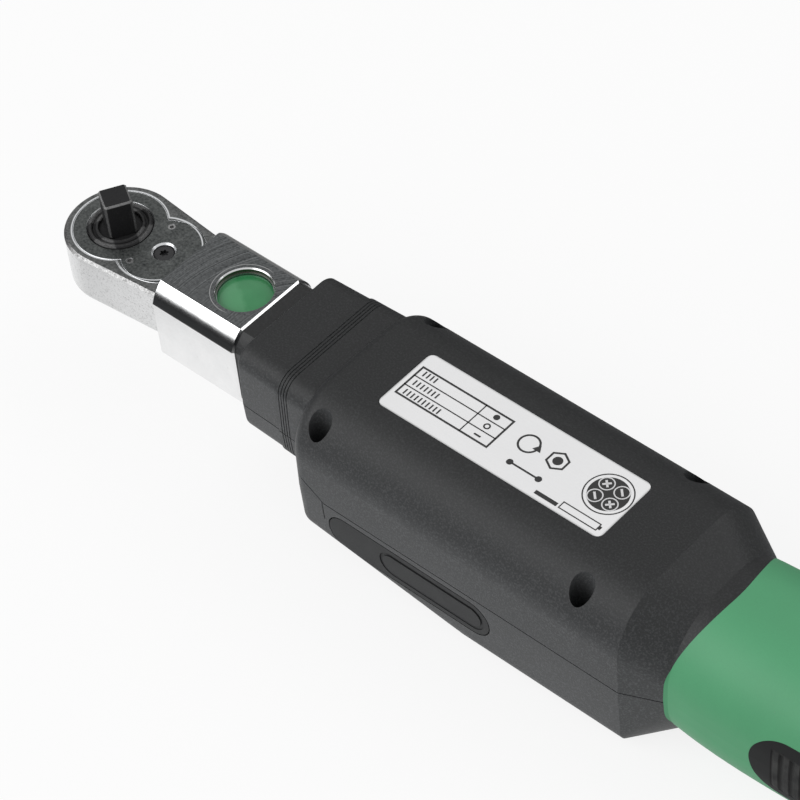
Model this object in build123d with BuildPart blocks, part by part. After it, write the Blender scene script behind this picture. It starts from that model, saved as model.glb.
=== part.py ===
from build123d import *
import math
import os

os.makedirs("parts", exist_ok=True)

# Digital torque wrench: origin on the drive axis at the socket seat,
# +X from the ratchet head to the grip end, +Z out of the square drive.

# Fits
RUNNING = 0.05
SEAT = 0.02
LOOSE = 0.3
TOUCH = 0.1
CLEAR = 60.0

# Square drive
SQUARE = 6.3
SQUARE_REACH = 8.45
SQUARE_ANGLE = 59.4
SQUARE_CORNER = 0.45
SQUARE_TIP = 0.4
COLLAR_R = 7.15
COLLAR_DISH_R = 4.75
COLLAR_DISH = 0.9
GROOVE_IN_R = 5.6
GROOVE_OUT_R = 6.15
GROOVE_DEPTH = 0.6
GEAR_TEETH = 48
GEAR_TIP_R = 8.3
GEAR_ROOT_R = 7.75
GEAR_CORE_R = 7.45
GEAR_ROOM = 0.2
DRIVE_BOSS_R = 5.0
BALL_R = 1.5
BALL_SHOW = 0.55
BALL_Z = 5.0
BALL_BORE_DEPTH = 4.9

# Ratchet head
HEAD_R = 12.5
HEAD_TOP = -0.45
HEAD_HEIGHT = 12.8
HEAD_CHAMFER = 0.6
HEAD_FLOOR = 2.0
HEAD_END_HALF = 10.6
COVER_R = 10.6
COVER_TAIL_R = 9.5
COVER_THICK = 1.5
COVER_HOLE_CHAMFER = 0.4
COVER_SCREW_X = 9.37
COVER_SCREW_Y = 6.54
COVER_SCREW_R = 0.85
COVER_SCREW_LENGTH = 4.2
PAWL_AXIS_X = 13.35
PAWL_SWING = 5.0
PAWL_R = 7.9
PAWL_HUB_R = 4.75
PAWL_THICK = 4.2
PAWL_WALL_IN_R = 3.95
PAWL_WALL_TOP = -3.8
PAWL_ARM_START = 128.0
PAWL_CUTS = 10
SHAFT_R = 2.2
DRUM_R = 3.2
PLUNGER_R = 0.8
PLUNGER_Z = -5.0
PLUNGER_BORE = 2.2
PLUNGER_TAIL = 0.6
LEVER_THROW = 35.0
LEVER_DISC_R = 5.2
LEVER_REACH = 10.6
LEVER_TIP_R = 2.2
LEVER_THICK = 2.4
LEVER_RIB = 1.1
LOBE_SCREW_R = 2.35
LOBE_SCREW_HEAD = 1.1
LOBE_SHANK_R = 0.95

# Spigot and insert holder
SPIGOT_WIDE = 12.0
SPIGOT_TALL = 9.0
SPIGOT_Z = -7.6
SPIGOT_LENGTH = 20.0
HOLDER_FRONT = 21.6
HOLDER_LENGTH = 24.2
HOLDER_HALF = 12.3
HOLDER_FLAT_HALF = 8.95
HOLDER_TOP = 3.4
HOLDER_BOTTOM = -17.2
HOLDER_CREASE = 4.6
HOLDER_SHOULDER_R = 9.0
HOLDER_LOW_R = 1.5
HOLDER_CHAMFER = 0.4
BUTTON_X = 38.2
BUTTON_BORE_R = 6.3
BUTTON_RIM_R = 6.55
BUTTON_R = 6.0
BUTTON_FLANGE_R = 6.2
BUTTON_FLANGE = 0.8
BUTTON_SINK = 1.9
BUTTON_DOME = 0.7
BUTTON_TRAVEL = 1.3
BUTTON_STEM_R = 1.75
CLIP_R = 6.75
CLIP_THICK = 0.5
PIN_SHOW = 1.2
PIN_LENGTH = 5.2
PIN_SPRING = 3.0

# Measuring bar and its carrier
BAR_Z = -8.1
STUB_R = 5.5
STUB_END = 60.0
BAR_FRONT = 52.7
BAR_BLOCK_END = 73.0
BAR_BLOCK_HALF = 8.8
BAR_HALF_TALL = 7.2
BAR_HALF = 4.5
BAR_ARM_HALF_TALL = 6.0
BAR_PIN_X = 56.0
BAR_PIN_R = 1.5
GAUGE_START = 80.0
GAUGE_LENGTH = 14.0
GAUGE_HALF = 3.0
GAUGE_FOIL = 0.2
PIVOT_X = 66.0
PIVOT_R = 3.0
BUSH_R = 5.0
TAIL_X = 143.5
TAIL_R = 3.0
TAIL_HALF_TALL = 3.6
TAIL_NECK_HALF = 2.3
CARRIER_FRONT = 54.0
CARRIER_HALF = 12.2
CARRIER_HALF_TALL = 10.0
CARRIER_WALL = 1.8
CARRIER_OPEN = 78.0
CARRIER_END = 156.0
TONGUE_HALF = 8.0
TONGUE_TOP = -2.0
TONGUE_BOTTOM = -15.5
TONGUE_END = 188.0
CARRIAGE_LENGTH = 12.0
CARRIAGE_HALF = 5.6
CARRIAGE_HALF_TALL = 5.0
ROD_R = 2.0
ROD_SETBACK = 6.5

# Neck and case
NECK_FRONT = 50.0
NECK_SEAM = 61.4
NECK_TOP = 4.4
NECK_BOTTOM = -20.4
NECK_PARTING = -10.8
NECK_HALF = 15.6
NECK_REAR_HALF = 16.5
NECK_STEP = 0.3
NECK_CHIN_R = 6.0
NECK_TOP_R = 4.3
NECK_LOW_R = 5.5
NECK_EDGE_R = 0.7
SEAM_GROOVES = 4
SEAM_PITCH = 0.75
SEAM_DEPTH = 0.25
COLLAR_INSET = 0.6
MOUTH_GAP = 0.7
CASE_FRONT = 70.0
CASE_TOP = 6.5
CASE_HALF = 22.2
CASE_TOP_R = 13.5
CASE_LOW_R = 4.5
CASE_NOSE_BOTTOM = -28.9
CASE_FACE = -34.5
CASE_FACE_START = 115.0
CASE_REAR = 156.8
CASE_PARTING = -16.2
CASE_WALL = 2.2
CASE_NOSE_R = 3.5
CASE_DRAFT = 0.5
PARTING_STEP = 0.5
PARTING_GROOVE = 0.25
PARTING_DEPTH = 0.25
SLIT_LENGTH = 5.5
SHOULDER_END = 79.0

# Screws in the case
SCREW_FRONT_X = 76.3
SCREW_REAR_X = 145.0
SCREW_Y = 17.7
SCREW_WELL_R = 2.6
SCREW_WELL_FLOOR = -8.0
SCREW_BOSS_R = 3.9
SCREW_POST_R = 3.0
SCREW_HEAD_R = 2.4
SCREW_HEAD = 2.4
SCREW_SHANK_R = 1.5
SCREW_LENGTH = 16.0

# Label plate
LABEL_START = 83.7
LABEL_END = 141.75
LABEL_HALF = 8.55
LABEL_SINK = 0.5
LABEL_THICK = 0.4
LABEL_CORNER = 1.6

# Display side
WINDOW_X = 128.0
WINDOW_LENGTH = 23.4
WINDOW_WIDTH = 33.0
WINDOW_THICK = 1.3
WINDOW_LEDGE = 1.6
WINDOW_RECESS = 0.2
MODULE_THICK = 3.6
BOARD_START = 88.0
BOARD_END = 153.0
BOARD_HALF = 17.0
BOARD_THICK = 1.6
KEY_X = 147.5
KEY_PITCH = 7.4
KEY_LENGTH = 7.0
KEY_WIDTH = 6.0
KEY_RECESS = 0.2
KEY_FLANGE = 0.4
KEY_FLANGE_THICK = 0.8
MAT_THICK = 0.8
LENS_X = 95.0
LENS_LENGTH = 20.0
LENS_WIDTH = 5.0
BUZZER_X = 92.0
BUZZER_Y = 9.0
BUZZER_R = 5.0
BUZZER_TALL = 2.6

# Cable port on the near side
FLAP_START = 79.6
FLAP_LENGTH = 43.6
FLAP_TALL = 9.4
FLAP_Z = -22.9
FLAP_THICK = 1.6
FLAP_PAD_START = 94.5
FLAP_PAD_LENGTH = 26.5
FLAP_PAD_TALL = 5.2
FLAP_PAD_RING = 0.9
FLAP_GROOVE = 0.45
FLAP_GAP = 0.25
FLAP_PROUD = 0.6
PORT_X = 109.5
PORT_Z = FLAP_Z - 2.1
PORT_WIDE = 7.7
PORT_TALL = 3.9
PORT_SHELL = 0.4
PORT_DEPTH = 9.2
PLUG_LENGTH = 1.5

# Grip, cells and cap
GRIP_AXIS_Z = -15.2
GRIP_FLANGE_R = 19.3
GRIP_ARC_X = 132.0
GRIP_ARC_R = 38.0
GRIP_EDGE_X = 160.0
GRIP_ROUND = 0.86
GRIP_BORE_R = 15.35
GRIP_PAD_START = 186.0
GRIP_PAD_SETBACK = 12.0
GRIP_PAD_HALF = 8.5
GRIP_PAD_DEPTH = 1.3
TUBE_START = 176.0
CELL_R = 5.25
CELL_LENGTH = 44.5
CELL_START = 206.0
CELL_OFFSET = 5.6
CELL_NIPPLE_R = 1.9
CELL_NIPPLE = 0.9
CONTACT_THICK = 0.5
CONTACT_PLATE = 1.6
SPRING_ROOM = 3.9
CAP_LENGTH = 13.0
CAP_WALL = 2.4
CAP_SKIRT_R = 15.1
CAP_GRIP_FLUTES = 12
LUG_R = 16.1
LUG_LENGTH = 2.4
LUG_SETBACK = 1.4
CAP_SEAT = 6.0
LUG_ANGLE = 24.0
CAP_TURN = 60.0
SEAL_WIRE = 0.55
SEAL_SETBACK = 0.9

holder_rear = HOLDER_FRONT + HOLDER_LENGTH
head_bottom = HEAD_TOP - HEAD_HEIGHT
cover_under = HEAD_TOP - COVER_THICK
pocket_floor = head_bottom + HEAD_FLOOR
spigot_top = SPIGOT_Z + SPIGOT_TALL / 2
button_edge = HOLDER_TOP - BUTTON_SINK
clip_z = button_edge + TOUCH
button_floor = button_edge - BUTTON_FLANGE - BUTTON_TRAVEL
pin_top = spigot_top + PIN_SHOW
pin_bottom = pin_top - PIN_LENGTH
pin_bore = PIN_LENGTH + PIN_SPRING - PIN_SHOW
pawl_low = pocket_floor + TOUCH
pawl_top = pawl_low + PAWL_THICK
gear_low = pocket_floor + RUNNING
gear_top = cover_under - TOUCH
carrier_top = BAR_Z + CARRIER_HALF_TALL
carrier_bottom = BAR_Z - CARRIER_HALF_TALL
carrier_roof = carrier_top - CARRIER_WALL
carrier_inside = CARRIER_HALF - CARRIER_WALL
case_inside_face = CASE_FACE + CASE_WALL
case_side = -CASE_HALF
board_low = case_inside_face + TOUCH + MODULE_THICK
board_top = board_low + BOARD_THICK
label_middle = (LABEL_START + LABEL_END) / 2
label_length = LABEL_END - LABEL_START
rod_x = TAIL_X + ROD_SETBACK
key_spots = [KEY_PITCH * (i - 1.5) for i in range(4)]
cell_end = CELL_START + CELL_LENGTH
tube_end = cell_end + SPRING_ROOM + CONTACT_PLATE
grip_end = tube_end + CAP_SEAT
lug_start = tube_end + LUG_SETBACK
pad_end = grip_end - GRIP_PAD_SETBACK
grip_stations = (
    (166, 18.2),
    (193, 18.6),
    (221, 17.6),
    (grip_end - 14, 18.2),
    (grip_end, GRIP_FLANGE_R),
)
cap_end = grip_end + CAP_LENGTH
seal_x = grip_end - SEAL_SETBACK


def save(piece, name):
    piece.part.label = name
    export_step(piece.part, f"parts/{name}.step")


def gear_outline(root, tip, turn=0.0):
    """Closed ring of symmetric teeth."""
    points = []
    for i in range(GEAR_TEETH):
        for r, step in ((root, 0.0), (tip, 0.5)):
            a = math.radians(turn) + (i + step) * 2 * math.pi / GEAR_TEETH
            points.append((r * math.cos(a), r * math.sin(a)))
    return points


def holder_outline(plane, inset=0.0):
    """Flat top, long rounded shoulders that end in a crease, soft lower corners."""
    half = HOLDER_HALF - inset
    low = HOLDER_BOTTOM + inset
    with BuildSketch(plane) as face:
        with BuildLine():
            top = Line((0, HOLDER_TOP - inset), (HOLDER_FLAT_HALF - inset / 2, HOLDER_TOP - inset))
            crease = (half, HOLDER_TOP - HOLDER_CREASE)
            RadiusArc(top @ 1, crease, HOLDER_SHOULDER_R)
            Polyline(crease, (half, low), (0, low))
            mirror(about=Plane.YZ)
        make_face()
        corners = face.vertices().group_by(Axis.Y)[0].sort_by(Axis.X)
        fillet([corners[0], corners[-1]], HOLDER_LOW_R)
    return face.sketch


def case_section(x, half, top, bottom, top_r, low_r, parting, inset=0.0):
    """Cross-section of the moulded case: widest at its parting line."""
    with BuildSketch(Plane.YZ.offset(x)) as face:
        wide = half - inset
        narrow = wide - CASE_DRAFT
        up = top - inset
        down = bottom + inset
        with BuildLine():
            Polyline(
                (narrow, up),
                (wide, parting),
                (narrow, down),
                (-narrow, down),
                (-wide, parting),
                (-narrow, up),
                close=True,
            )
        make_face()
        fillet(face.vertices().group_by(Axis.Y)[-1], max(top_r - inset, 0.5))
        fillet(face.vertices().group_by(Axis.Y)[0], max(low_r - inset, 0.5))
    return face.sketch


def grip_section(x, half):
    """Cross-section of the grip: nearly round, about the grip axis."""
    return case_section(
        x,
        half,
        GRIP_AXIS_Z + half,
        GRIP_AXIS_Z - half,
        half * GRIP_ROUND,
        half * GRIP_ROUND,
        GRIP_AXIS_Z,
    )


def neck_section(x, half, inset=0.0):
    """Cross-section of the neck."""
    return case_section(
        x, half, NECK_TOP, NECK_BOTTOM, NECK_TOP_R, NECK_LOW_R, NECK_PARTING, inset
    )


def neck_body(inset=0.0):
    """Neck with its slight flare and rounded chin."""
    with BuildPart() as neck:
        front = neck_section(NECK_FRONT, NECK_HALF, inset)
        back = neck_section(SHOULDER_END - 3, NECK_REAR_HALF, inset)
        loft(sections=[front, back])
        if not inset:
            fillet(neck.faces().sort_by(Axis.X)[0].edges(), NECK_EDGE_R)
        with BuildSketch(Plane.XZ):
            with Locations((NECK_FRONT, NECK_BOTTOM)):
                Rectangle(NECK_CHIN_R, NECK_CHIN_R, align=(Align.MIN, Align.MIN))
            with Locations((NECK_FRONT + NECK_CHIN_R, NECK_BOTTOM + NECK_CHIN_R)):
                Circle(NECK_CHIN_R, mode=Mode.SUBTRACT)
        extrude(amount=CASE_HALF, both=True, mode=Mode.SUBTRACT)
    return neck.part


def case_body(inset=0.0, front=CASE_FRONT, rear=CASE_REAR):
    """Case between the shoulder and the rear crease, deeper towards its display face."""
    slope = (CASE_FACE - CASE_NOSE_BOTTOM) / (CASE_FACE_START - CASE_FRONT)
    nose = CASE_NOSE_BOTTOM + slope * (front - CASE_FRONT)
    with BuildPart() as case:
        for x0, x1, z0, z1 in (
            (front, CASE_FACE_START, nose, CASE_FACE),
            (CASE_FACE_START, rear, CASE_FACE, CASE_FACE),
        ):
            loft(
                sections=[
                    case_section(
                        x, CASE_HALF, CASE_TOP, z, CASE_TOP_R, CASE_LOW_R, CASE_PARTING, inset
                    )
                    for x, z in ((x0, z0), (x1, z1))
                ]
            )
        if not inset:
            fillet(case.faces().sort_by(Axis.X)[0].edges(), CASE_NOSE_R)
    return case.part


def waist_body(inset=0.0):
    """Waist between the case's rear crease and the grip."""
    x, half = grip_stations[0]
    with BuildPart() as waist:
        rear_face = case_section(
            CASE_REAR, CASE_HALF, CASE_TOP, CASE_FACE, CASE_TOP_R, CASE_LOW_R, CASE_PARTING, inset
        )
        loft(sections=[rear_face, grip_section(x, half - inset)], ruled=True)
    return waist.part


def rear_body():
    """Waist behind the case, then the swelling grip up to its end flange."""
    with BuildPart() as rear:
        add(waist_body())
        loft(sections=[grip_section(x, half) for x, half in grip_stations])
    return rear.part


def parting_line(shift=0.0):
    """Stepped line on which the two halves meet, as points in the upright plane."""
    return [
        (NECK_FRONT - 5, NECK_PARTING + shift),
        (CASE_FRONT + PARTING_STEP, NECK_PARTING + shift),
        (SHOULDER_END, CASE_PARTING + shift),
        (grip_end, CASE_PARTING + shift),
    ]


def parting_block(above):
    """Everything above, or below, the stepped parting line."""
    far = 40.0 if above else -60.0
    with BuildPart() as block:
        with BuildSketch(Plane.XZ):
            with BuildLine():
                Polyline((NECK_FRONT - 5, far), *parting_line(), (grip_end, far), close=True)
            make_face()
        extrude(amount=CASE_HALF + 5, both=True)
    return block.part


def parting_groove():
    """Fine groove along the parting line and the short slit that runs down from it."""
    with BuildPart() as groove:
        with BuildSketch(Plane.XZ):
            with BuildLine():
                Polyline(*parting_line(), *reversed(parting_line(-PARTING_GROOVE)), close=True)
            make_face()
            with Locations((SHOULDER_END - PARTING_STEP, CASE_PARTING)):
                Rectangle(PARTING_GROOVE, SLIT_LENGTH, align=(Align.MAX, Align.MAX))
        extrude(amount=CASE_HALF + 5, both=True)
        add(neck_body(PARTING_DEPTH), mode=Mode.SUBTRACT)
        add(case_body(PARTING_DEPTH, CASE_FRONT + PARTING_DEPTH, CASE_REAR), mode=Mode.SUBTRACT)
        add(waist_body(PARTING_DEPTH), mode=Mode.SUBTRACT)
    return groove.part


def arc_block(radius, x_start):
    """Upright drum that bounds the black case against the green grip."""
    with BuildPart() as block:
        with BuildSketch(Plane.XY.offset(-60)):
            with Locations((GRIP_ARC_X, 0)):
                Circle(radius)
            with Locations((x_start, 0)):
                Rectangle(GRIP_EDGE_X + radius - GRIP_ARC_R - x_start, 80, align=(Align.MIN, Align.CENTER))
        extrude(amount=100)
    return block.part


def stadium(plane, x, z, length, tall, depth):
    """Upright plate with fully rounded ends, extruded from its plane."""
    with BuildPart() as plate:
        with BuildSketch(plane):
            with Locations((x + length / 2, z)):
                SlotOverall(length, tall)
        extrude(amount=depth)
    return plate.part


def coil(plane, radius, wire, height, turns):
    """Round-wire compression spring standing on its plane."""
    rise = height - 2 * wire
    with BuildPart() as spring:
        with BuildLine() as path:
            Helix(pitch=rise / turns, height=rise, radius=radius, center=(0, 0, wire))
        with BuildSketch(Plane(origin=path.line @ 0, z_dir=path.line % 0)):
            RegularPolygon(wire, 6)
        sweep(path=path.line)
    return spring.part.moved(plane.location)


drive_face = Plane(
    origin=(0, 0, BALL_Z),
    x_dir=(0, 0, 1),
    z_dir=(math.cos(math.radians(SQUARE_ANGLE)), math.sin(math.radians(SQUARE_ANGLE)), 0),
)


def make_drive():
    """Square, two-ridged collar, fine-toothed gear and lower journal in one forging."""
    with BuildPart() as drive:
        with BuildSketch(Plane.XZ):
            with BuildLine():
                Polyline(
                    (0, head_bottom),
                    (DRIVE_BOSS_R, head_bottom),
                    (DRIVE_BOSS_R, pocket_floor),
                    (GEAR_CORE_R, gear_low),
                    (GEAR_CORE_R, gear_top),
                    (COLLAR_R, gear_top),
                    (COLLAR_R, -0.45),
                    (COLLAR_R - 0.45, 0),
                    (GROOVE_OUT_R + 0.3, 0),
                    (GROOVE_OUT_R, -0.3),
                    (GROOVE_OUT_R - 0.1, -GROOVE_DEPTH),
                    (GROOVE_IN_R + 0.1, -GROOVE_DEPTH),
                    (GROOVE_IN_R, -0.4),
                    (GROOVE_IN_R - 0.25, -0.15),
                    (COLLAR_DISH_R + 0.2, -0.15),
                    (COLLAR_DISH_R, -0.35),
                    (COLLAR_DISH_R, -COLLAR_DISH),
                    (0, -COLLAR_DISH),
                    close=True,
                )
            make_face()
        revolve(axis=Axis.Z)
        with BuildSketch(Plane.XY.offset(gear_low)):
            with BuildLine():
                Polyline(*gear_outline(GEAR_ROOT_R, GEAR_TIP_R), close=True)
            make_face()
        extrude(amount=gear_top - gear_low)
        with BuildSketch(Plane.XY.offset(-COLLAR_DISH).rotated((0, 0, SQUARE_ANGLE))) as square:
            Rectangle(SQUARE, SQUARE)
            chamfer(square.vertices(), SQUARE_CORNER)
        extrude(amount=SQUARE_REACH + COLLAR_DISH)
        chamfer(drive.faces().sort_by(Axis.Z)[-1].edges(), SQUARE_TIP)
        with BuildSketch(drive_face.offset(SQUARE / 2)):
            Circle(BALL_R + RUNNING)
        extrude(amount=-BALL_BORE_DEPTH, mode=Mode.SUBTRACT)
    save(drive, "square_drive")


def make_drive_ball():
    reach = SQUARE / 2 + BALL_SHOW - BALL_R
    with BuildPart(drive_face.offset(reach)) as ball:
        Sphere(BALL_R)
    save(ball, "detent_ball")
    bore_end = SQUARE / 2 - BALL_BORE_DEPTH
    back = drive_face.offset(bore_end + RUNNING)
    room = reach - BALL_R - bore_end - 2 * RUNNING
    with BuildPart() as spring:
        add(coil(back, 0.95, 0.22, room, 2.5))
    save(spring, "ball_spring")


def head_outline(plane, trim=0.0):
    with BuildSketch(plane) as outline:
        with BuildLine():
            CenterArc((0, 0), HEAD_R - trim, 0, 360)
            end = HOLDER_FRONT - TOUCH
            Line((end, -HEAD_END_HALF + trim), (end, HEAD_END_HALF - trim))
        make_hull()
    return outline.sketch


def cover_outline(plane, grow=0.0):
    with BuildSketch(plane) as outline:
        Circle(COVER_R + grow)
        with Locations((PAWL_AXIS_X, 0)):
            Circle(COVER_TAIL_R + grow)
        with Locations((HOLDER_FRONT - TOUCH - 0.05 + grow, 0)):
            Rectangle(CLEAR, 2 * CLEAR, align=(Align.MIN, Align.CENTER), mode=Mode.SUBTRACT)
    return outline.sketch


def make_ratchet_head():
    with BuildPart() as head:
        extrude(head_outline(Plane.XY.offset(HEAD_TOP)), amount=-HEAD_HEIGHT)
        rim = head.faces().sort_by(Axis.Z)
        chamfer(rim[-1].edges().filter_by(Axis.Y, reverse=True), HEAD_CHAMFER)
        rim = head.faces().sort_by(Axis.Z)
        fillet(rim[0].edges().filter_by(Axis.Y, reverse=True), 1.2)
        with BuildSketch(Plane.YZ.offset(HOLDER_FRONT - 1)):
            with Locations((0, SPIGOT_Z)):
                Rectangle(SPIGOT_WIDE, SPIGOT_TALL)
        extrude(amount=SPIGOT_LENGTH + 1)
        chamfer(head.faces().sort_by(Axis.X)[-1].edges(), 0.6)
        recess = cover_outline(Plane.XY.offset(HEAD_TOP), SEAT * 2)
        extrude(recess, amount=-COVER_THICK, mode=Mode.SUBTRACT)
        with BuildSketch(Plane.XY.offset(cover_under)) as pocket:
            Circle(GEAR_TIP_R + GEAR_ROOM)
            with Locations((PAWL_AXIS_X, 0)):
                Circle(PAWL_R + 0.35)
                Rectangle(CLEAR, 2 * CLEAR, align=(Align.MIN, Align.CENTER), mode=Mode.SUBTRACT)
                Circle(PAWL_HUB_R + 0.25)
        extrude(amount=pocket_floor - cover_under, mode=Mode.SUBTRACT)
        with BuildSketch(Plane.XY.offset(pocket_floor)):
            Circle(DRIVE_BOSS_R + RUNNING)
            with Locations((PAWL_AXIS_X, 0)):
                Circle(SHAFT_R + RUNNING)
        extrude(amount=-HEAD_FLOOR, mode=Mode.SUBTRACT)
        with Locations(Plane.XY.offset(cover_under)):
            with Locations((COVER_SCREW_X, COVER_SCREW_Y), (COVER_SCREW_X, -COVER_SCREW_Y)):
                Hole(COVER_SCREW_R + SEAT, depth=COVER_SCREW_LENGTH)
        with Locations(Plane.XY.offset(spigot_top)):
            with Locations((BUTTON_X, 0)):
                Hole(BUTTON_STEM_R + RUNNING, depth=pin_bore)
    save(head, "ratchet_head")


def make_cover():
    with BuildPart() as cover:
        extrude(cover_outline(Plane.XY.offset(cover_under)), amount=COVER_THICK)
        chamfer(cover.faces().sort_by(Axis.Z)[-1].edges(), 0.12)
        with Locations(Plane.XY.offset(HEAD_TOP)):
            with Locations((0, 0)):
                CounterSinkHole(COLLAR_R + RUNNING, COLLAR_R + COVER_HOLE_CHAMFER)
            with Locations((PAWL_AXIS_X, 0)):
                CounterSinkHole(LOBE_SCREW_R + RUNNING, LOBE_SCREW_R + COVER_HOLE_CHAMFER)
            with Locations((COVER_SCREW_X, COVER_SCREW_Y), (COVER_SCREW_X, -COVER_SCREW_Y)):
                Hole(COVER_SCREW_R + SEAT)
    save(cover, "cover_plate")
    with BuildPart() as screws:
        with BuildSketch(Plane.XY.offset(HEAD_TOP - 0.1)):
            with Locations((COVER_SCREW_X, COVER_SCREW_Y), (COVER_SCREW_X, -COVER_SCREW_Y)):
                Circle(COVER_SCREW_R)
        extrude(amount=-(COVER_SCREW_LENGTH + COVER_THICK - 0.2))
        with BuildSketch(Plane.XY.offset(HEAD_TOP - 0.1)):
            with Locations((COVER_SCREW_X, COVER_SCREW_Y), (COVER_SCREW_X, -COVER_SCREW_Y)):
                RegularPolygon(0.5, 6)
        extrude(amount=-0.5, mode=Mode.SUBTRACT)
    save(screws, "cover_screws")


def make_pawl():
    """Rocking pawl whose arms carry the gear's own teeth, cut clear over its whole swing."""
    with BuildPart() as gear_cut:
        with BuildSketch(Plane.XY.offset(pawl_low - 1)):
            with BuildLine():
                tip = GEAR_TIP_R + TOUCH
                root = GEAR_ROOT_R + TOUCH
                Polyline(*gear_outline(root, tip), close=True)
            make_face()
        extrude(amount=PAWL_THICK + 8)
    pivot = Axis((PAWL_AXIS_X, 0, 0), (0, 0, 1))
    with BuildPart() as pawl:
        with BuildSketch(Plane.XY.offset(pawl_low)):
            with BuildLine():
                spread = 2 * (180 - PAWL_ARM_START)
                arm = CenterArc((PAWL_AXIS_X, 0), PAWL_R, PAWL_ARM_START, spread)
                Polyline(arm @ 0, (PAWL_AXIS_X, 0), arm @ 1)
            make_face()
            with Locations((PAWL_AXIS_X, 0)):
                Circle(PAWL_HUB_R)
        extrude(amount=PAWL_THICK)
        for i in range(PAWL_CUTS + 1):
            swing = PAWL_SWING * (2 * i / PAWL_CUTS - 1)
            add(gear_cut.part.rotate(pivot, swing), mode=Mode.SUBTRACT)
        with BuildSketch(Plane.XY.offset(pawl_top)):
            with Locations((PAWL_AXIS_X, 0)):
                Circle(PAWL_HUB_R)
                Circle(PAWL_WALL_IN_R, mode=Mode.SUBTRACT)
                Rectangle(20, 20, align=(Align.MAX, Align.CENTER), mode=Mode.SUBTRACT)
        extrude(amount=PAWL_WALL_TOP - pawl_top)
        with Locations(Plane.XY.offset(pawl_top)):
            with Locations((PAWL_AXIS_X, 0)):
                Hole(SHAFT_R + RUNNING, depth=PAWL_THICK + 1)
    pawl.part.label = "pawl"
    turned = pawl.part.rotate(pivot, PAWL_SWING)
    turned.label = "pawl"
    export_step(turned, "parts/pawl.step")


def make_reversing_lever():
    """Thumb lever under the head, its shaft through the floor and its drum above the pawl."""
    under = head_bottom - TOUCH
    pivot = Axis((PAWL_AXIS_X, 0, 0), (0, 0, 1))
    drum_top = cover_under - TOUCH
    with BuildPart() as lever:
        with BuildSketch(Plane.XY.offset(under)):
            with BuildLine():
                CenterArc((PAWL_AXIS_X, 0), LEVER_DISC_R, 0, 360)
                CenterArc((PAWL_AXIS_X - LEVER_REACH + LEVER_TIP_R, 0), LEVER_TIP_R, 0, 360)
            make_hull()
        extrude(amount=-LEVER_THICK)
        fillet(lever.faces().sort_by(Axis.Z)[0].edges(), 0.8)
        with BuildSketch(Plane.XY.offset(under - LEVER_THICK)):
            with Locations((PAWL_AXIS_X - LEVER_REACH + LEVER_TIP_R + 0.6, 0)):
                SlotOverall(3.4, 1.6, rotation=90)
        extrude(amount=-LEVER_RIB)
        with BuildSketch(Plane.XY.offset(under)):
            with Locations((PAWL_AXIS_X, 0)):
                Circle(SHAFT_R)
        extrude(amount=pawl_top + TOUCH - under)
        with BuildSketch(Plane.XY.offset(pawl_top + TOUCH)):
            with Locations((PAWL_AXIS_X, 0)):
                Circle(DRUM_R)
        extrude(amount=drum_top - pawl_top - TOUCH)
        bore = Plane(origin=(PAWL_AXIS_X - PLUNGER_BORE, 0, PLUNGER_Z), x_dir=(0, 1, 0), z_dir=(1, 0, 0))
        with BuildSketch(bore):
            Circle(PLUNGER_R + SEAT)
        extrude(amount=PLUNGER_BORE + DRUM_R + 1, mode=Mode.SUBTRACT)
        with Locations(Plane.XY.offset(drum_top)):
            with Locations((PAWL_AXIS_X, 0)):
                Hole(LOBE_SHANK_R + SEAT, depth=1.7)
    turned = lever.part.rotate(pivot, LEVER_THROW)
    turned.label = "reversing_lever"
    export_step(turned, "parts/reversing_lever.step")

    tip = PAWL_WALL_IN_R - 0.15
    with BuildPart() as plunger:
        with BuildSketch(bore.offset(PLUNGER_BORE + tip)):
            Circle(PLUNGER_R)
        extrude(amount=-(tip - PLUNGER_TAIL))
        fillet(plunger.faces().sort_by(Axis.X)[-1].edges(), 0.5)
    turned = plunger.part.rotate(pivot, LEVER_THROW)
    turned.label = "pawl_plunger"
    export_step(turned, "parts/pawl_plunger.step")

    spring = coil(bore.offset(RUNNING), 0.5, 0.15, PLUNGER_BORE + PLUNGER_TAIL - 2 * RUNNING, 3)
    turned = spring.rotate(pivot, LEVER_THROW)
    turned.label = "pawl_spring"
    export_step(turned, "parts/pawl_spring.step")

    with BuildPart() as screw:
        with BuildSketch(Plane.XY.offset(drum_top)):
            with Locations((PAWL_AXIS_X, 0)):
                Circle(LOBE_SCREW_R)
        extrude(amount=LOBE_SCREW_HEAD)
        chamfer(screw.faces().sort_by(Axis.Z)[-1].edges(), 0.25)
        with BuildSketch(Plane.XY.offset(drum_top)):
            with Locations((PAWL_AXIS_X, 0)):
                Circle(LOBE_SHANK_R)
        extrude(amount=-1.6)
        with BuildSketch(Plane.XY.offset(drum_top + LOBE_SCREW_HEAD)):
            with Locations((PAWL_AXIS_X, 0)):
                Circle(0.75)
                with PolarLocations(0.78, 6):
                    Circle(0.27)
        extrude(amount=-0.75, mode=Mode.SUBTRACT)
    save(screw, "lobe_screw")


def make_lock_pin():
    """Catch pin of the spigot; the button's stem rests on it."""
    with BuildPart() as pin:
        with BuildSketch(Plane.XY.offset(pin_top)):
            with Locations((BUTTON_X, 0)):
                Circle(BUTTON_STEM_R)
        extrude(amount=-PIN_LENGTH)
        chamfer(pin.faces().sort_by(Axis.Z)[-1].edges(), 0.3)
    save(pin, "lock_pin")
    seat = Plane.XY.offset(pin_bottom - PIN_SPRING + RUNNING)
    with BuildPart() as spring:
        add(coil(seat, 1.3, 0.22, PIN_SPRING - 2 * RUNNING, 3).moved(Location((BUTTON_X, 0, 0))))
    save(spring, "lock_pin_spring")


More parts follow.
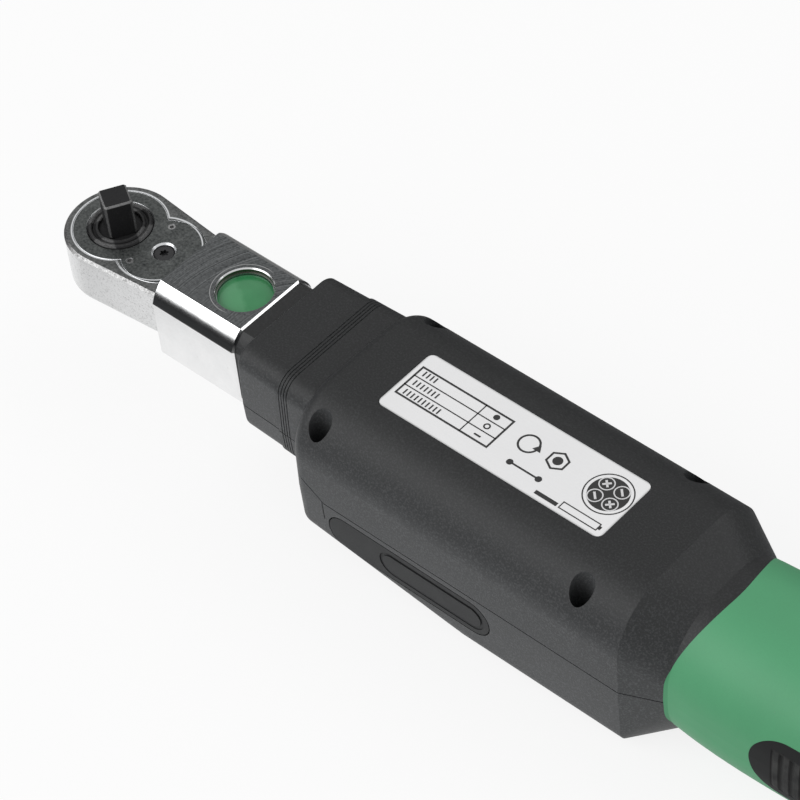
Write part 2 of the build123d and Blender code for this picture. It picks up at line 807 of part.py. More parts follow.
def make_holder():
    with BuildPart() as holder:
        body = holder_outline(Plane.YZ.offset(HOLDER_FRONT + HOLDER_CHAMFER))
        extrude(body, amount=HOLDER_LENGTH - 2 * HOLDER_CHAMFER)
        for x, outward in ((HOLDER_FRONT + HOLDER_CHAMFER, -1), (holder_rear - HOLDER_CHAMFER, 1)):
            end = Plane.YZ.offset(x + outward * HOLDER_CHAMFER)
            loft(sections=[holder_outline(Plane.YZ.offset(x)), holder_outline(end, HOLDER_CHAMFER)])
        with BuildSketch(Plane.YZ.offset(HOLDER_FRONT)):
            with Locations((0, SPIGOT_Z)):
                Rectangle(SPIGOT_WIDE + 2 * RUNNING, SPIGOT_TALL + 2 * RUNNING)
        extrude(amount=SPIGOT_LENGTH + LOOSE, mode=Mode.SUBTRACT)
        with Locations(Plane.XY.offset(HOLDER_TOP)):
            with Locations((BUTTON_X, 0)):
                CounterSinkHole(BUTTON_BORE_R, BUTTON_RIM_R, depth=HOLDER_TOP - button_floor)
                Hole(BUTTON_STEM_R + 0.1, depth=HOLDER_TOP - spigot_top + 1)
        with BuildSketch(Plane.XY.offset(clip_z)):
            with Locations((BUTTON_X, 0)):
                Circle(CLIP_R + SEAT)
        extrude(amount=CLIP_THICK + SEAT, mode=Mode.SUBTRACT)
        with BuildSketch(Plane.YZ.offset(holder_rear - 0.5)):
            with Locations((0, BAR_Z)):
                Circle(STUB_R)
        extrude(amount=STUB_END - holder_rear + 0.5)
        with Locations(Plane.XY.offset(BAR_Z + STUB_R)):
            with Locations((BAR_PIN_X, 0)):
                Hole(BAR_PIN_R + SEAT, depth=2 * STUB_R)
    save(holder, "insert_holder")

    with BuildPart() as button:
        with BuildSketch(Plane.XZ):
            with BuildLine():
                low = button_edge - BUTTON_FLANGE
                stem_end = pin_top + SEAT
                rim = (BUTTON_R, button_edge + 0.15)
                crown = (0, button_edge + BUTTON_DOME)
                Polyline(
                    (0, stem_end),
                    (BUTTON_STEM_R, stem_end),
                    (BUTTON_STEM_R, low),
                    (BUTTON_FLANGE_R, low),
                    (BUTTON_FLANGE_R, button_edge),
                    (BUTTON_R, button_edge),
                    rim,
                )
                rise = crown[1] - rim[1]
                RadiusArc(crown, rim, (BUTTON_R**2 + rise**2) / (2 * rise))
                Line(crown, (0, stem_end))
            make_face()
        revolve(axis=Axis.Z)
    moved = button.part.translate((BUTTON_X, 0, 0))
    moved.label = "release_button"
    export_step(moved, "parts/release_button.step")

    with BuildPart() as clip:
        with BuildSketch(Plane.XY.offset(clip_z + SEAT / 2)):
            with Locations((BUTTON_X, 0)):
                Circle(CLIP_R)
                Circle(BUTTON_R + TOUCH, mode=Mode.SUBTRACT)
                Rectangle(CLIP_R + 2, 1.2, align=(Align.MIN, Align.CENTER), mode=Mode.SUBTRACT)
        extrude(amount=CLIP_THICK)
    save(clip, "button_clip")

    with BuildPart() as collar:
        ring = holder_outline(Plane.YZ.offset(holder_rear + SEAT), COLLAR_INSET)
        extrude(ring, amount=BAR_FRONT - holder_rear - 2 * SEAT)
        with BuildSketch(Plane.YZ.offset(holder_rear)):
            with Locations((0, BAR_Z)):
                Circle(STUB_R + SEAT)
        extrude(amount=20, mode=Mode.SUBTRACT)
    save(collar, "holder_collar")


def make_bar():
    """Pivoted measuring bar: drilled block, waisted gauge zone and rounded tail."""
    with BuildPart() as bar:
        with BuildSketch(Plane.XY.offset(BAR_Z)) as plan:
            with BuildLine():
                gauge_end = GAUGE_START + GAUGE_LENGTH
                side = [
                    (BAR_FRONT, BAR_BLOCK_HALF),
                    (BAR_BLOCK_END - 4, BAR_BLOCK_HALF),
                    (BAR_BLOCK_END, BAR_HALF),
                    (GAUGE_START, BAR_HALF),
                    (GAUGE_START + 1.5, GAUGE_HALF),
                    (gauge_end - 1.5, GAUGE_HALF),
                    (gauge_end, BAR_HALF),
                    (TAIL_X - 10, BAR_HALF),
                ]
                Polyline(*side, *[(x, -y) for x, y in reversed(side)], close=True)
            make_face()
            fillet(plan.vertices().filter_by_position(Axis.X, GAUGE_START, gauge_end), 1.0)
        extrude(amount=BAR_ARM_HALF_TALL, both=True)
        with BuildSketch(Plane.XY.offset(BAR_Z)):
            with Locations((BAR_FRONT, 0)):
                Rectangle(
                    BAR_BLOCK_END - 4 - BAR_FRONT, 2 * BAR_BLOCK_HALF, align=(Align.MIN, Align.CENTER)
                )
        extrude(amount=BAR_HALF_TALL, both=True)
        with BuildSketch(Plane.XY.offset(BAR_Z)):
            with Locations((TAIL_X - 11, 0)):
                Rectangle(11, 2 * TAIL_NECK_HALF, align=(Align.MIN, Align.CENTER))
            with Locations((TAIL_X, 0)):
                Circle(TAIL_R)
        extrude(amount=TAIL_HALF_TALL, both=True)
        with BuildSketch(Plane.YZ.offset(BAR_FRONT)):
            with Locations((0, BAR_Z)):
                Circle(STUB_R + SEAT)
        extrude(amount=STUB_END - BAR_FRONT + TOUCH, mode=Mode.SUBTRACT)
        with Locations(Plane.XY.offset(BAR_Z + BAR_HALF_TALL)):
            with Locations((BAR_PIN_X, 0)):
                Hole(BAR_PIN_R + SEAT)
            with Locations((PIVOT_X, 0)):
                Hole(PIVOT_R + RUNNING)
    save(bar, "measuring_bar")

    with BuildPart() as pin:
        with Locations((BAR_PIN_X, 0, BAR_Z)):
            Cylinder(BAR_PIN_R, 2 * BAR_HALF_TALL - 0.4)
    save(pin, "bar_pin")

    with BuildPart() as gauges:
        for side in (-1, 1):
            with BuildSketch(Plane.XZ.offset(-side * GAUGE_HALF)):
                with Locations((GAUGE_START + 4.4, BAR_Z), (GAUGE_START + 9.6, BAR_Z)):
                    Rectangle(4.0, 6.0)
            extrude(amount=-side * GAUGE_FOIL)
    save(gauges, "strain_gauges")


def make_carrier():
    """Drawn box frame: closed round the pivot, open below behind it, tongue into the grip."""
    with BuildPart() as carrier:
        with BuildSketch(Plane.YZ.offset(CARRIER_FRONT)):
            with Locations((0, BAR_Z)):
                Rectangle(2 * CARRIER_HALF, 2 * CARRIER_HALF_TALL)
                Rectangle(
                    2 * carrier_inside, 2 * (CARRIER_HALF_TALL - CARRIER_WALL), mode=Mode.SUBTRACT
                )
        extrude(amount=CARRIER_END - CARRIER_FRONT)
        with BuildSketch(Plane.XY.offset(carrier_bottom)):
            with Locations((CARRIER_OPEN, 0)):
                length = CARRIER_END - CARRIER_WALL - CARRIER_OPEN
                Rectangle(length, 2 * CARRIER_HALF + 2, align=(Align.MIN, Align.CENTER))
        extrude(amount=CARRIER_WALL, mode=Mode.SUBTRACT)
        with BuildSketch(Plane.YZ.offset(CARRIER_END)):
            with Locations((0, BAR_Z)):
                Rectangle(2 * CARRIER_HALF, 2 * CARRIER_HALF_TALL)
        extrude(amount=-CARRIER_WALL)
        with BuildSketch(Plane.YZ.offset(CARRIER_END)):
            with Locations((0, (TONGUE_TOP + TONGUE_BOTTOM) / 2)):
                Rectangle(2 * TONGUE_HALF, TONGUE_TOP - TONGUE_BOTTOM)
        extrude(amount=TONGUE_END - CARRIER_END)
        with Locations(Plane.XY.offset(carrier_top)):
            with Locations((PIVOT_X, 0)):
                Hole(PIVOT_R + SEAT)
        with BuildSketch(Plane.XZ):
            with Locations((rod_x, BAR_Z)):
                Circle(ROD_R + SEAT)
        extrude(amount=CARRIER_HALF + 1, both=True, mode=Mode.SUBTRACT)
        with BuildSketch(Plane.XY.offset(carrier_top)):
            with GridLocations(24, 0, 3, 1):
                with Locations((105, 0)):
                    SlotOverall(14, 9)
        extrude(amount=-CARRIER_WALL, mode=Mode.SUBTRACT)
    save(carrier, "carrier_frame")

    with BuildPart() as pin:
        with Locations((PIVOT_X, 0, BAR_Z)):
            Cylinder(PIVOT_R, 2 * CARRIER_HALF_TALL - 0.1)
        chamfer(pin.edges(), 0.4)
    save(pin, "pivot_pin")

    with BuildPart() as bushes:
        for side in (-1, 1):
            gap = CARRIER_HALF_TALL - CARRIER_WALL - BAR_HALF_TALL
            start = BAR_Z + side * (BAR_HALF_TALL + RUNNING)
            with BuildSketch(Plane.XY.offset(start)):
                with Locations((PIVOT_X, 0)):
                    Circle(BUSH_R)
                    Circle(PIVOT_R + SEAT, mode=Mode.SUBTRACT)
            extrude(amount=side * (gap - RUNNING - SEAT))
    save(bushes, "pivot_bushes")


def make_trip():
    """Carriage that the bar's tail drives along a cross rod against two centring springs."""
    front = TAIL_X - TAIL_R - 0.5
    with BuildPart() as carriage:
        with BuildSketch(Plane.XY.offset(BAR_Z)):
            with Locations((front, 0)):
                Rectangle(CARRIAGE_LENGTH, 2 * CARRIAGE_HALF, align=(Align.MIN, Align.CENTER))
        extrude(amount=CARRIAGE_HALF_TALL, both=True)
        chamfer(carriage.edges().filter_by(Axis.Z), 0.6)
        with BuildSketch(Plane.XY.offset(BAR_Z)):
            with Locations((front, 0)):
                slot = 2 * (TAIL_R + RUNNING)
                Rectangle(TAIL_R + 0.5, slot, align=(Align.MIN, Align.CENTER))
            with Locations((TAIL_X, 0)):
                Circle(TAIL_R + 2 * RUNNING)
        extrude(amount=CARRIAGE_HALF_TALL + 1, both=True, mode=Mode.SUBTRACT)
        with BuildSketch(Plane.XZ):
            with Locations((rod_x, BAR_Z)):
                Circle(ROD_R + RUNNING)
        extrude(amount=CARRIAGE_HALF + 1, both=True, mode=Mode.SUBTRACT)
    save(carriage, "trip_carriage")

    with BuildPart() as rod:
        with BuildSketch(Plane.XZ):
            with Locations((rod_x, BAR_Z)):
                Circle(ROD_R)
        extrude(amount=CARRIER_HALF - 0.2, both=True)
    save(rod, "trip_rod")

    with BuildPart() as springs:
        room = carrier_inside - CARRIAGE_HALF - 2 * RUNNING
        for side in (-1, 1):
            seat = Plane(
                origin=(rod_x, side * (CARRIAGE_HALF + RUNNING), BAR_Z), z_dir=(0, side, 0)
            )
            add(coil(seat, 2.8, 0.35, room, 2.5))
    save(springs, "trip_springs")


outer_neck = neck_body()
outer_case = case_body()
outer_rear = rear_body()
inner_case = case_body(CASE_WALL, CASE_FRONT + CASE_WALL, CASE_REAR - CASE_WALL)
black_zone = arc_block(GRIP_ARC_R, NECK_FRONT - 10)


def carrier_pocket(grow=SEAT * 2):
    """Room that the carrier frame and its tongue take inside the mouldings."""
    with BuildPart() as room:
        with BuildSketch(Plane.YZ.offset(CARRIER_FRONT - grow)):
            with Locations((0, BAR_Z)):
                Rectangle(2 * (CARRIER_HALF + grow), 2 * (CARRIER_HALF_TALL + grow))
        extrude(amount=CARRIER_END - CARRIER_FRONT + 2 * grow)
        with BuildSketch(Plane.YZ.offset(CARRIER_END)):
            with Locations((0, (TONGUE_TOP + TONGUE_BOTTOM) / 2)):
                Rectangle(2 * (TONGUE_HALF + grow), TONGUE_TOP - TONGUE_BOTTOM + 2 * grow)
        extrude(amount=TONGUE_END - CARRIER_END + grow)
    return room.part


def neck_mouth():
    """Opening in the neck's front round the collar, wide enough for the bar's swing."""
    with BuildPart() as mouth:
        hole = holder_outline(Plane.YZ.offset(NECK_FRONT - 1), COLLAR_INSET - MOUTH_GAP)
        extrude(hole, amount=CARRIER_FRONT - NECK_FRONT + 1.1)
    return mouth.part


def neck_grooves():
    """Fine parallel grooves behind the seam."""
    with BuildPart() as grooves:
        for i in range(SEAM_GROOVES):
            x = NECK_SEAM + 1.0 + i * SEAM_PITCH
            outline = case_section(
                x, NECK_REAR_HALF + 4, NECK_TOP + 4, NECK_BOTTOM - 4, 7, 9, NECK_PARTING
            )
            extrude(outline, amount=0.25)
        add(neck_body(SEAM_DEPTH - NECK_STEP), mode=Mode.SUBTRACT)
    return grooves.part


def screw_spots():
    return [(x, y) for x in (SCREW_FRONT_X, SCREW_REAR_X) for y in (-SCREW_Y, SCREW_Y)]


def make_neck_sleeves():
    for name, above in (("neck_sleeve_upper", True), ("neck_sleeve_lower", False)):
        with BuildPart() as sleeve:
            add(outer_neck)
            split(bisect_by=Plane.YZ.offset(NECK_SEAM), keep=Keep.BOTTOM)
            add(parting_block(above), mode=Mode.INTERSECT)
            add(carrier_pocket(), mode=Mode.SUBTRACT)
            add(neck_mouth(), mode=Mode.SUBTRACT)
            if not above:
                add(parting_groove(), mode=Mode.SUBTRACT)
        save(sleeve, name)


def shell_block(above):
    """One half of the case with its neck root, walls and carrier seat."""
    with BuildPart() as shell:
        add(neck_body(-NECK_STEP))
        split(bisect_by=Plane.YZ.offset(NECK_SEAM + SEAT), keep=Keep.TOP)
        add(outer_case)
        add(outer_rear)
        add(inner_case, mode=Mode.SUBTRACT)
        add(black_zone, mode=Mode.INTERSECT)
        add(parting_block(above), mode=Mode.INTERSECT)
    return shell.part


def make_rear_shell():
    """Label-side half: deep screw wells, label recess, ribs over the carrier."""
    with BuildPart() as shell:
        add(shell_block(True))
        with BuildSketch(Plane.XY.offset(CASE_PARTING)):
            with Locations(*screw_spots()):
                Circle(SCREW_BOSS_R)
        extrude(amount=CASE_TOP - CASE_PARTING)
        add(parting_block(True), mode=Mode.INTERSECT)
        with BuildSketch(Plane.XY.offset(carrier_top + SEAT)):
            with Locations((88, 0), (104, 0), (120, 0), (136, 0)):
                Rectangle(1.8, 2 * CARRIER_HALF)
        extrude(amount=CASE_TOP - carrier_top - 1.2)
        add(outer_with_neck(), mode=Mode.INTERSECT)
        add(carrier_pocket(), mode=Mode.SUBTRACT)
        add(neck_grooves(), mode=Mode.SUBTRACT)
        with BuildSketch(Plane.XY.offset(SCREW_WELL_FLOOR)):
            with Locations(*screw_spots()):
                Circle(SCREW_WELL_R)
        extrude(amount=CASE_TOP - SCREW_WELL_FLOOR + 1, mode=Mode.SUBTRACT)
        with BuildSketch(Plane.XY.offset(CASE_PARTING - 1)):
            with Locations(*screw_spots()):
                Circle(SCREW_SHANK_R + SEAT)
        extrude(amount=SCREW_WELL_FLOOR - CASE_PARTING + 2, mode=Mode.SUBTRACT)
        with BuildSketch(Plane.XY.offset(CASE_TOP - LABEL_SINK)) as recess:
            with Locations((label_middle, 0)):
                Rectangle(label_length + 0.3, 2 * LABEL_HALF + 0.3)
            fillet(recess.vertices(), LABEL_CORNER + 0.15)
        extrude(amount=LABEL_SINK + 1, mode=Mode.SUBTRACT)
    save(shell, "rear_shell")


def outer_with_neck():
    with BuildPart() as whole:
        add(neck_body(-NECK_STEP))
        split(bisect_by=Plane.YZ.offset(NECK_SEAM + SEAT), keep=Keep.TOP)
        add(outer_case)
        add(outer_rear)
    return whole.part


def make_front_shell():
    """Display-side half: face openings, port recess and the bosses the screws bite in."""
    side = Plane.XZ.offset(-case_side)
    with BuildPart() as shell:
        add(shell_block(False))
        with BuildSketch(Plane.XY.offset(NECK_PARTING)):
            with Locations(*screw_spots()):
                Circle(SCREW_POST_R)
        extrude(amount=case_inside_face - NECK_PARTING)
        add(parting_block(False), mode=Mode.INTERSECT)
        with BuildSketch(Plane.XZ.offset(-case_side - CASE_WALL + 0.2)):
            with Locations((FLAP_START - 1, FLAP_Z)):
                Rectangle(FLAP_LENGTH + 3, FLAP_TALL + 2, align=(Align.MIN, Align.CENTER))
        extrude(amount=-1.8)
        add(outer_with_neck(), mode=Mode.INTERSECT)
        add(carrier_pocket(), mode=Mode.SUBTRACT)
        add(neck_grooves(), mode=Mode.SUBTRACT)
        add(parting_groove(), mode=Mode.SUBTRACT)
        with BuildSketch(Plane.XY.offset(NECK_PARTING + 1)):
            with Locations(*screw_spots()):
                Circle(SCREW_SHANK_R + SEAT)
        extrude(amount=SCREW_WELL_FLOOR - SCREW_LENGTH - NECK_PARTING - 1, mode=Mode.SUBTRACT)
        room = FLAP_LENGTH + 2 * FLAP_GAP
        tall = FLAP_TALL + 2 * FLAP_GAP
        depth = FLAP_THICK + FLAP_PROUD + TOUCH
        recess = stadium(side.offset(FLAP_PROUD), FLAP_START - FLAP_GAP, FLAP_Z, room, tall, -depth)
        add(recess, mode=Mode.SUBTRACT)
        with BuildSketch(side):
            with Locations((PORT_X, PORT_Z)):
                Rectangle(PORT_WIDE + 2 * TOUCH, PORT_TALL + 2 * TOUCH)
        extrude(amount=-6, mode=Mode.SUBTRACT)
        with BuildSketch(Plane.XY.offset(CASE_FACE)) as opening:
            with Locations((WINDOW_X, 0)):
                Rectangle(WINDOW_LENGTH + 2 * TOUCH, WINDOW_WIDTH + 2 * TOUCH)
            fillet(opening.vertices(), 1.5)
        extrude(amount=WINDOW_THICK + WINDOW_RECESS + SEAT, mode=Mode.SUBTRACT)
        with BuildSketch(Plane.XY.offset(CASE_FACE)):
            with Locations((WINDOW_X, 0)):
                Rectangle(WINDOW_LENGTH - 2 * WINDOW_LEDGE, WINDOW_WIDTH - 2 * WINDOW_LEDGE)
            with Locations(*[(KEY_X, y) for y in key_spots]):
                RectangleRounded(KEY_LENGTH + 2 * TOUCH, KEY_WIDTH + 2 * TOUCH, 1.5)
        extrude(amount=CASE_WALL + 1, mode=Mode.SUBTRACT)
        with BuildSketch(Plane.XY.offset(CASE_FACE - 1)):
            with Locations((LENS_X, 0)):
                SlotOverall(LENS_LENGTH + 2 * SEAT, LENS_WIDTH + 2 * SEAT)
        extrude(amount=12, mode=Mode.SUBTRACT)
    save(shell, "front_shell")

    with BuildPart() as lens:
        with BuildSketch(Plane.XY.offset(CASE_FACE - 1)):
            with Locations((LENS_X, 0)):
                SlotOverall(LENS_LENGTH, LENS_WIDTH)
        extrude(amount=12)
        add(outer_case, mode=Mode.INTERSECT)
        add(inner_case, mode=Mode.SUBTRACT)
    save(lens, "signal_lens")

    with BuildPart() as window:
        with BuildSketch(Plane.XY.offset(CASE_FACE + WINDOW_RECESS)):
            with Locations((WINDOW_X, 0)):
                RectangleRounded(WINDOW_LENGTH, WINDOW_WIDTH, 1.4)
        extrude(amount=WINDOW_THICK)
    save(window, "display_window")


def make_screws():
    with BuildPart() as screws:
        with BuildSketch(Plane.XY.offset(SCREW_WELL_FLOOR)):
            with Locations(*screw_spots()):
                Circle(SCREW_HEAD_R)
        extrude(amount=SCREW_HEAD)
        with BuildSketch(Plane.XY.offset(SCREW_WELL_FLOOR)):
            with Locations(*screw_spots()):
                Circle(SCREW_SHANK_R)
        extrude(amount=-SCREW_LENGTH + 0.5)
        with BuildSketch(Plane.XY.offset(SCREW_WELL_FLOOR + SCREW_HEAD)):
            with Locations(*screw_spots()):
                RegularPolygon(1.25, 6)
        extrude(amount=-1.2, mode=Mode.SUBTRACT)
    save(screws, "housing_screws")

    with BuildPart() as label:
        with BuildSketch(Plane.XY.offset(CASE_TOP - LABEL_SINK)):
            with Locations((label_middle, 0)):
                RectangleRounded(label_length, 2 * LABEL_HALF, LABEL_CORNER)
        extrude(amount=LABEL_THICK)
    save(label, "label_plate")


def make_electronics():
    with BuildPart() as module:
        with BuildSketch(Plane.XY.offset(case_inside_face + TOUCH)):
            with Locations((WINDOW_X, 0)):
                Rectangle(WINDOW_LENGTH + 1, WINDOW_WIDTH)
        extrude(amount=MODULE_THICK)
    save(module, "display_module")

    with BuildPart() as board:
        with BuildSketch(Plane.XY.offset(board_low)):
            with Locations((BOARD_START, 0)):
                length = BOARD_END - BOARD_START
                Rectangle(length, 2 * BOARD_HALF, align=(Align.MIN, Align.CENTER))
            with Locations(*screw_spots()):
                Circle(SCREW_POST_R + LOOSE, mode=Mode.SUBTRACT)
        extrude(amount=BOARD_THICK)
        with BuildSketch(Plane.XY.offset(board_top)):
            with Locations((118, -6), (132, 6)):
                Rectangle(9, 9)
            with Locations((132, -8), (104, 9)):
                Rectangle(5, 6)
        extrude(amount=1.4)
    save(board, "main_board")

    with BuildPart() as buzzer:
        with BuildSketch(Plane.XY.offset(board_top)):
            with Locations((BUZZER_X, BUZZER_Y)):
                Circle(BUZZER_R)
        extrude(amount=BUZZER_TALL)
        with BuildSketch(Plane.XY.offset(board_top + BUZZER_TALL)):
            with Locations((BUZZER_X, BUZZER_Y)):
                Circle(0.9)
        extrude(amount=-1, mode=Mode.SUBTRACT)
    save(buzzer, "buzzer")

    mouth = case_side + FLAP_THICK + 0.3
    with BuildPart() as socket:
        with BuildSketch(Plane.XZ.offset(-mouth)):
            with Locations((PORT_X, PORT_Z)):
                Rectangle(PORT_WIDE, PORT_TALL)
        extrude(amount=-PORT_DEPTH)
        with BuildSketch(Plane.XZ.offset(-mouth)):
            with Locations((PORT_X, PORT_Z)):
                Rectangle(PORT_WIDE - 2 * PORT_SHELL, PORT_TALL - 2 * PORT_SHELL)
                Rectangle(PORT_WIDE - 3, 0.9, mode=Mode.SUBTRACT)
        extrude(amount=-PORT_DEPTH + 2, mode=Mode.SUBTRACT)
    save(socket, "port_socket")


def make_keys():
    for name, y in zip(("power_key", "mode_key", "down_key", "up_key"), key_spots):
        with BuildPart() as key:
            with BuildSketch(Plane.XY.offset(CASE_FACE + KEY_RECESS)):
                with Locations((KEY_X, y)):
                    RectangleRounded(KEY_LENGTH, KEY_WIDTH, 1.4)
            extrude(amount=CASE_WALL - KEY_RECESS + 0.2)
            chamfer(key.faces().sort_by(Axis.Z)[0].edges(), 0.3)
            with BuildSketch(Plane.XY.offset(case_inside_face + 0.1)):
                with Locations((KEY_X, y)):
                    Rectangle(KEY_LENGTH + 2 * KEY_FLANGE, KEY_WIDTH + 2 * KEY_FLANGE)
            extrude(amount=KEY_FLANGE_THICK)
        save(key, name)
    flange_top = case_inside_face + 0.1 + KEY_FLANGE_THICK
    with BuildPart() as mat:
        with BuildSketch(Plane.XY.offset(board_low - MAT_THICK)):
            with Locations((KEY_X, 0)):
                Rectangle(KEY_LENGTH + 3, 4 * KEY_PITCH)
            with Locations(*screw_spots()):
                Circle(SCREW_POST_R + LOOSE, mode=Mode.SUBTRACT)
        extrude(amount=MAT_THICK)
        for y in key_spots:
            with BuildSketch(Plane.XY.offset(board_low - MAT_THICK)):
                with Locations((KEY_X, y)):
                    Circle(2.6)
            extrude(amount=flange_top + 0.1 - board_low + MAT_THICK, taper=12)
    save(mat, "key_mat")


def make_port_cover():
    """Rubber flap that follows the case's flank, with a raised thumb pad and a plug."""
    side = Plane.XZ.offset(-case_side)
    with BuildPart() as flap:
        outside = side.offset(FLAP_PROUD)
        depth = FLAP_THICK + FLAP_PROUD
        plate = stadium(outside, FLAP_START, FLAP_Z, FLAP_LENGTH, FLAP_TALL, -depth)
        add(plate)
        add(outer_case, mode=Mode.INTERSECT)
        start = FLAP_PAD_START - FLAP_PAD_RING
        long = FLAP_PAD_LENGTH + 2 * FLAP_PAD_RING
        tall = FLAP_PAD_TALL + 2 * FLAP_PAD_RING
        ring = stadium(outside, start, FLAP_Z, long, tall, -FLAP_PROUD - FLAP_GROOVE)
        pad = stadium(outside, FLAP_PAD_START, FLAP_Z, FLAP_PAD_LENGTH, FLAP_PAD_TALL, -depth)
        add(ring - pad, mode=Mode.SUBTRACT)
        with BuildSketch(side.offset(-FLAP_THICK)):
            with Locations((PORT_X, PORT_Z)):
                Rectangle(PORT_WIDE - 2 * PORT_SHELL - 1, PORT_TALL - 2 * PORT_SHELL - 0.4)
                Rectangle(PORT_WIDE - 2, 1.5, mode=Mode.SUBTRACT)
        extrude(amount=-PLUG_LENGTH)
    save(flap, "port_cover")


def lug_pair(turn, x, length, grow=0.0):
    """Two opposite bayonet lugs, or with some growth the ways they come in by."""
    spread = LUG_ANGLE + 10 * grow
    with BuildPart() as lugs:
        for middle in (turn, turn + 180):
            with BuildSketch(Plane.YZ.offset(x)):
                with BuildLine():
                    start = middle - spread / 2
                    outer = CenterArc((0, GRIP_AXIS_Z), LUG_R + grow, start, spread)
                    inner = CenterArc((0, GRIP_AXIS_Z), CAP_SKIRT_R - 1, start, spread)
                    Line(outer @ 0, inner @ 0)
                    Line(outer @ 1, inner @ 1)
                make_face()
            extrude(amount=length)
    return lugs.part


def make_grip():
    """Green grip with its inlaid pads, bored for the battery tube."""
    with BuildPart() as core:
        loft(sections=[grip_section(x, half - GRIP_PAD_DEPTH) for x, half in grip_stations])
    length = pad_end - GRIP_PAD_START
    band = Plane.XZ.offset(-30)
    with BuildPart() as pads:
        add(stadium(band, GRIP_PAD_START, GRIP_AXIS_Z, length, 2 * GRIP_PAD_HALF, 60))
        add(outer_rear, mode=Mode.INTERSECT)
        add(core.part, mode=Mode.SUBTRACT)
    save(pads, "grip_pads")

    with BuildPart() as pocket:
        add(stadium(band, GRIP_PAD_START, GRIP_AXIS_Z, length, 2 * GRIP_PAD_HALF, 60))
        add(core.part, mode=Mode.SUBTRACT)
    with BuildPart() as grip:
        add(outer_rear)
        add(arc_block(GRIP_ARC_R + SEAT, NECK_FRONT - 10), mode=Mode.SUBTRACT)
        add(pocket.part, mode=Mode.SUBTRACT)
        add(carrier_pocket(), mode=Mode.SUBTRACT)
        axis = Plane.YZ.offset(TUBE_START - SEAT)
        with BuildSketch(axis):
            with Locations((0, GRIP_AXIS_Z)):
                Circle(GRIP_BORE_R)
        extrude(amount=grip_end - TUBE_START + 1, mode=Mode.SUBTRACT)
        with BuildSketch(Plane.YZ.offset(lug_start - 0.4)):
            with Locations((0, GRIP_AXIS_Z)):
                Circle(LUG_R + 0.2)
        extrude(amount=LUG_LENGTH + 0.8, mode=Mode.SUBTRACT)
        add(lug_pair(CAP_TURN, lug_start, grip_end - lug_start + 1, LOOSE), mode=Mode.SUBTRACT)
    save(grip, "grip_shell")


def cell_spots():
    d = CELL_OFFSET
    return [(-d, GRIP_AXIS_Z - d), (d, GRIP_AXIS_Z - d), (d, GRIP_AXIS_Z + d), (-d, GRIP_AXIS_Z + d)]


def make_battery():
    with BuildPart() as tube:
        with BuildSketch(Plane.YZ.offset(TUBE_START)):
            with Locations((0, GRIP_AXIS_Z)):
                Circle(GRIP_BORE_R - SEAT)
        extrude(amount=tube_end - TUBE_START)
        with BuildSketch(Plane.YZ.offset(CELL_START - CONTACT_THICK)):
            with Locations(*cell_spots()):
                Circle(CELL_R + 0.15)
        extrude(amount=tube_end, mode=Mode.SUBTRACT)
        with BuildSketch(Plane.YZ.offset(tube_end - CONTACT_PLATE - 0.1)):
            with Locations((0, GRIP_AXIS_Z)):
                Circle(GRIP_BORE_R - 1.2)
        extrude(amount=CONTACT_PLATE + 1, mode=Mode.SUBTRACT)
        add(carrier_pocket(), mode=Mode.SUBTRACT)
        with BuildSketch(Plane.YZ.offset(TUBE_START)):
            with Locations((0, GRIP_AXIS_Z - 9)):
                Rectangle(12, 5)
        extrude(amount=CELL_START - 4 - TUBE_START, mode=Mode.SUBTRACT)
    save(tube, "battery_tube")

    with BuildPart() as contacts:
        with BuildSketch(Plane.YZ.offset(CELL_START - CONTACT_THICK)):
            with Locations(*cell_spots()):
                Circle(CELL_R - 0.6)
        extrude(amount=CONTACT_THICK - SEAT)
    save(contacts, "front_contacts")

    for i, (y, z) in enumerate(cell_spots()):
        turned = i % 2
        with BuildPart() as cell:
            body = CELL_LENGTH - CELL_NIPPLE
            start = CELL_START + (CELL_NIPPLE if turned else 0)
            with BuildSketch(Plane.YZ.offset(start)):
                with Locations((y, z)):
                    Circle(CELL_R)
            extrude(amount=body)
            tip = Plane.YZ.offset(CELL_START if turned else start + body)
            with BuildSketch(tip):
                with Locations((y, z)):
                    Circle(CELL_NIPPLE_R)
            extrude(amount=CELL_NIPPLE)
        save(cell, f"cell_{i + 1}")

    plate_start = tube_end - CONTACT_PLATE
    with BuildPart() as plate:
        with BuildSketch(Plane.YZ.offset(plate_start)):
            with Locations((0, GRIP_AXIS_Z)):
                Circle(GRIP_BORE_R - 1.4)
        extrude(amount=CONTACT_PLATE)
    save(plate, "rear_contact_plate")

    with BuildPart() as springs:
        room = plate_start - cell_end - 2 * RUNNING
        for y, z in cell_spots():
            seat = Plane(origin=(cell_end + RUNNING, y, z), z_dir=(1, 0, 0))
            add(coil(seat, 3.0, 0.35, room, 2.5))
    save(springs, "cell_springs")


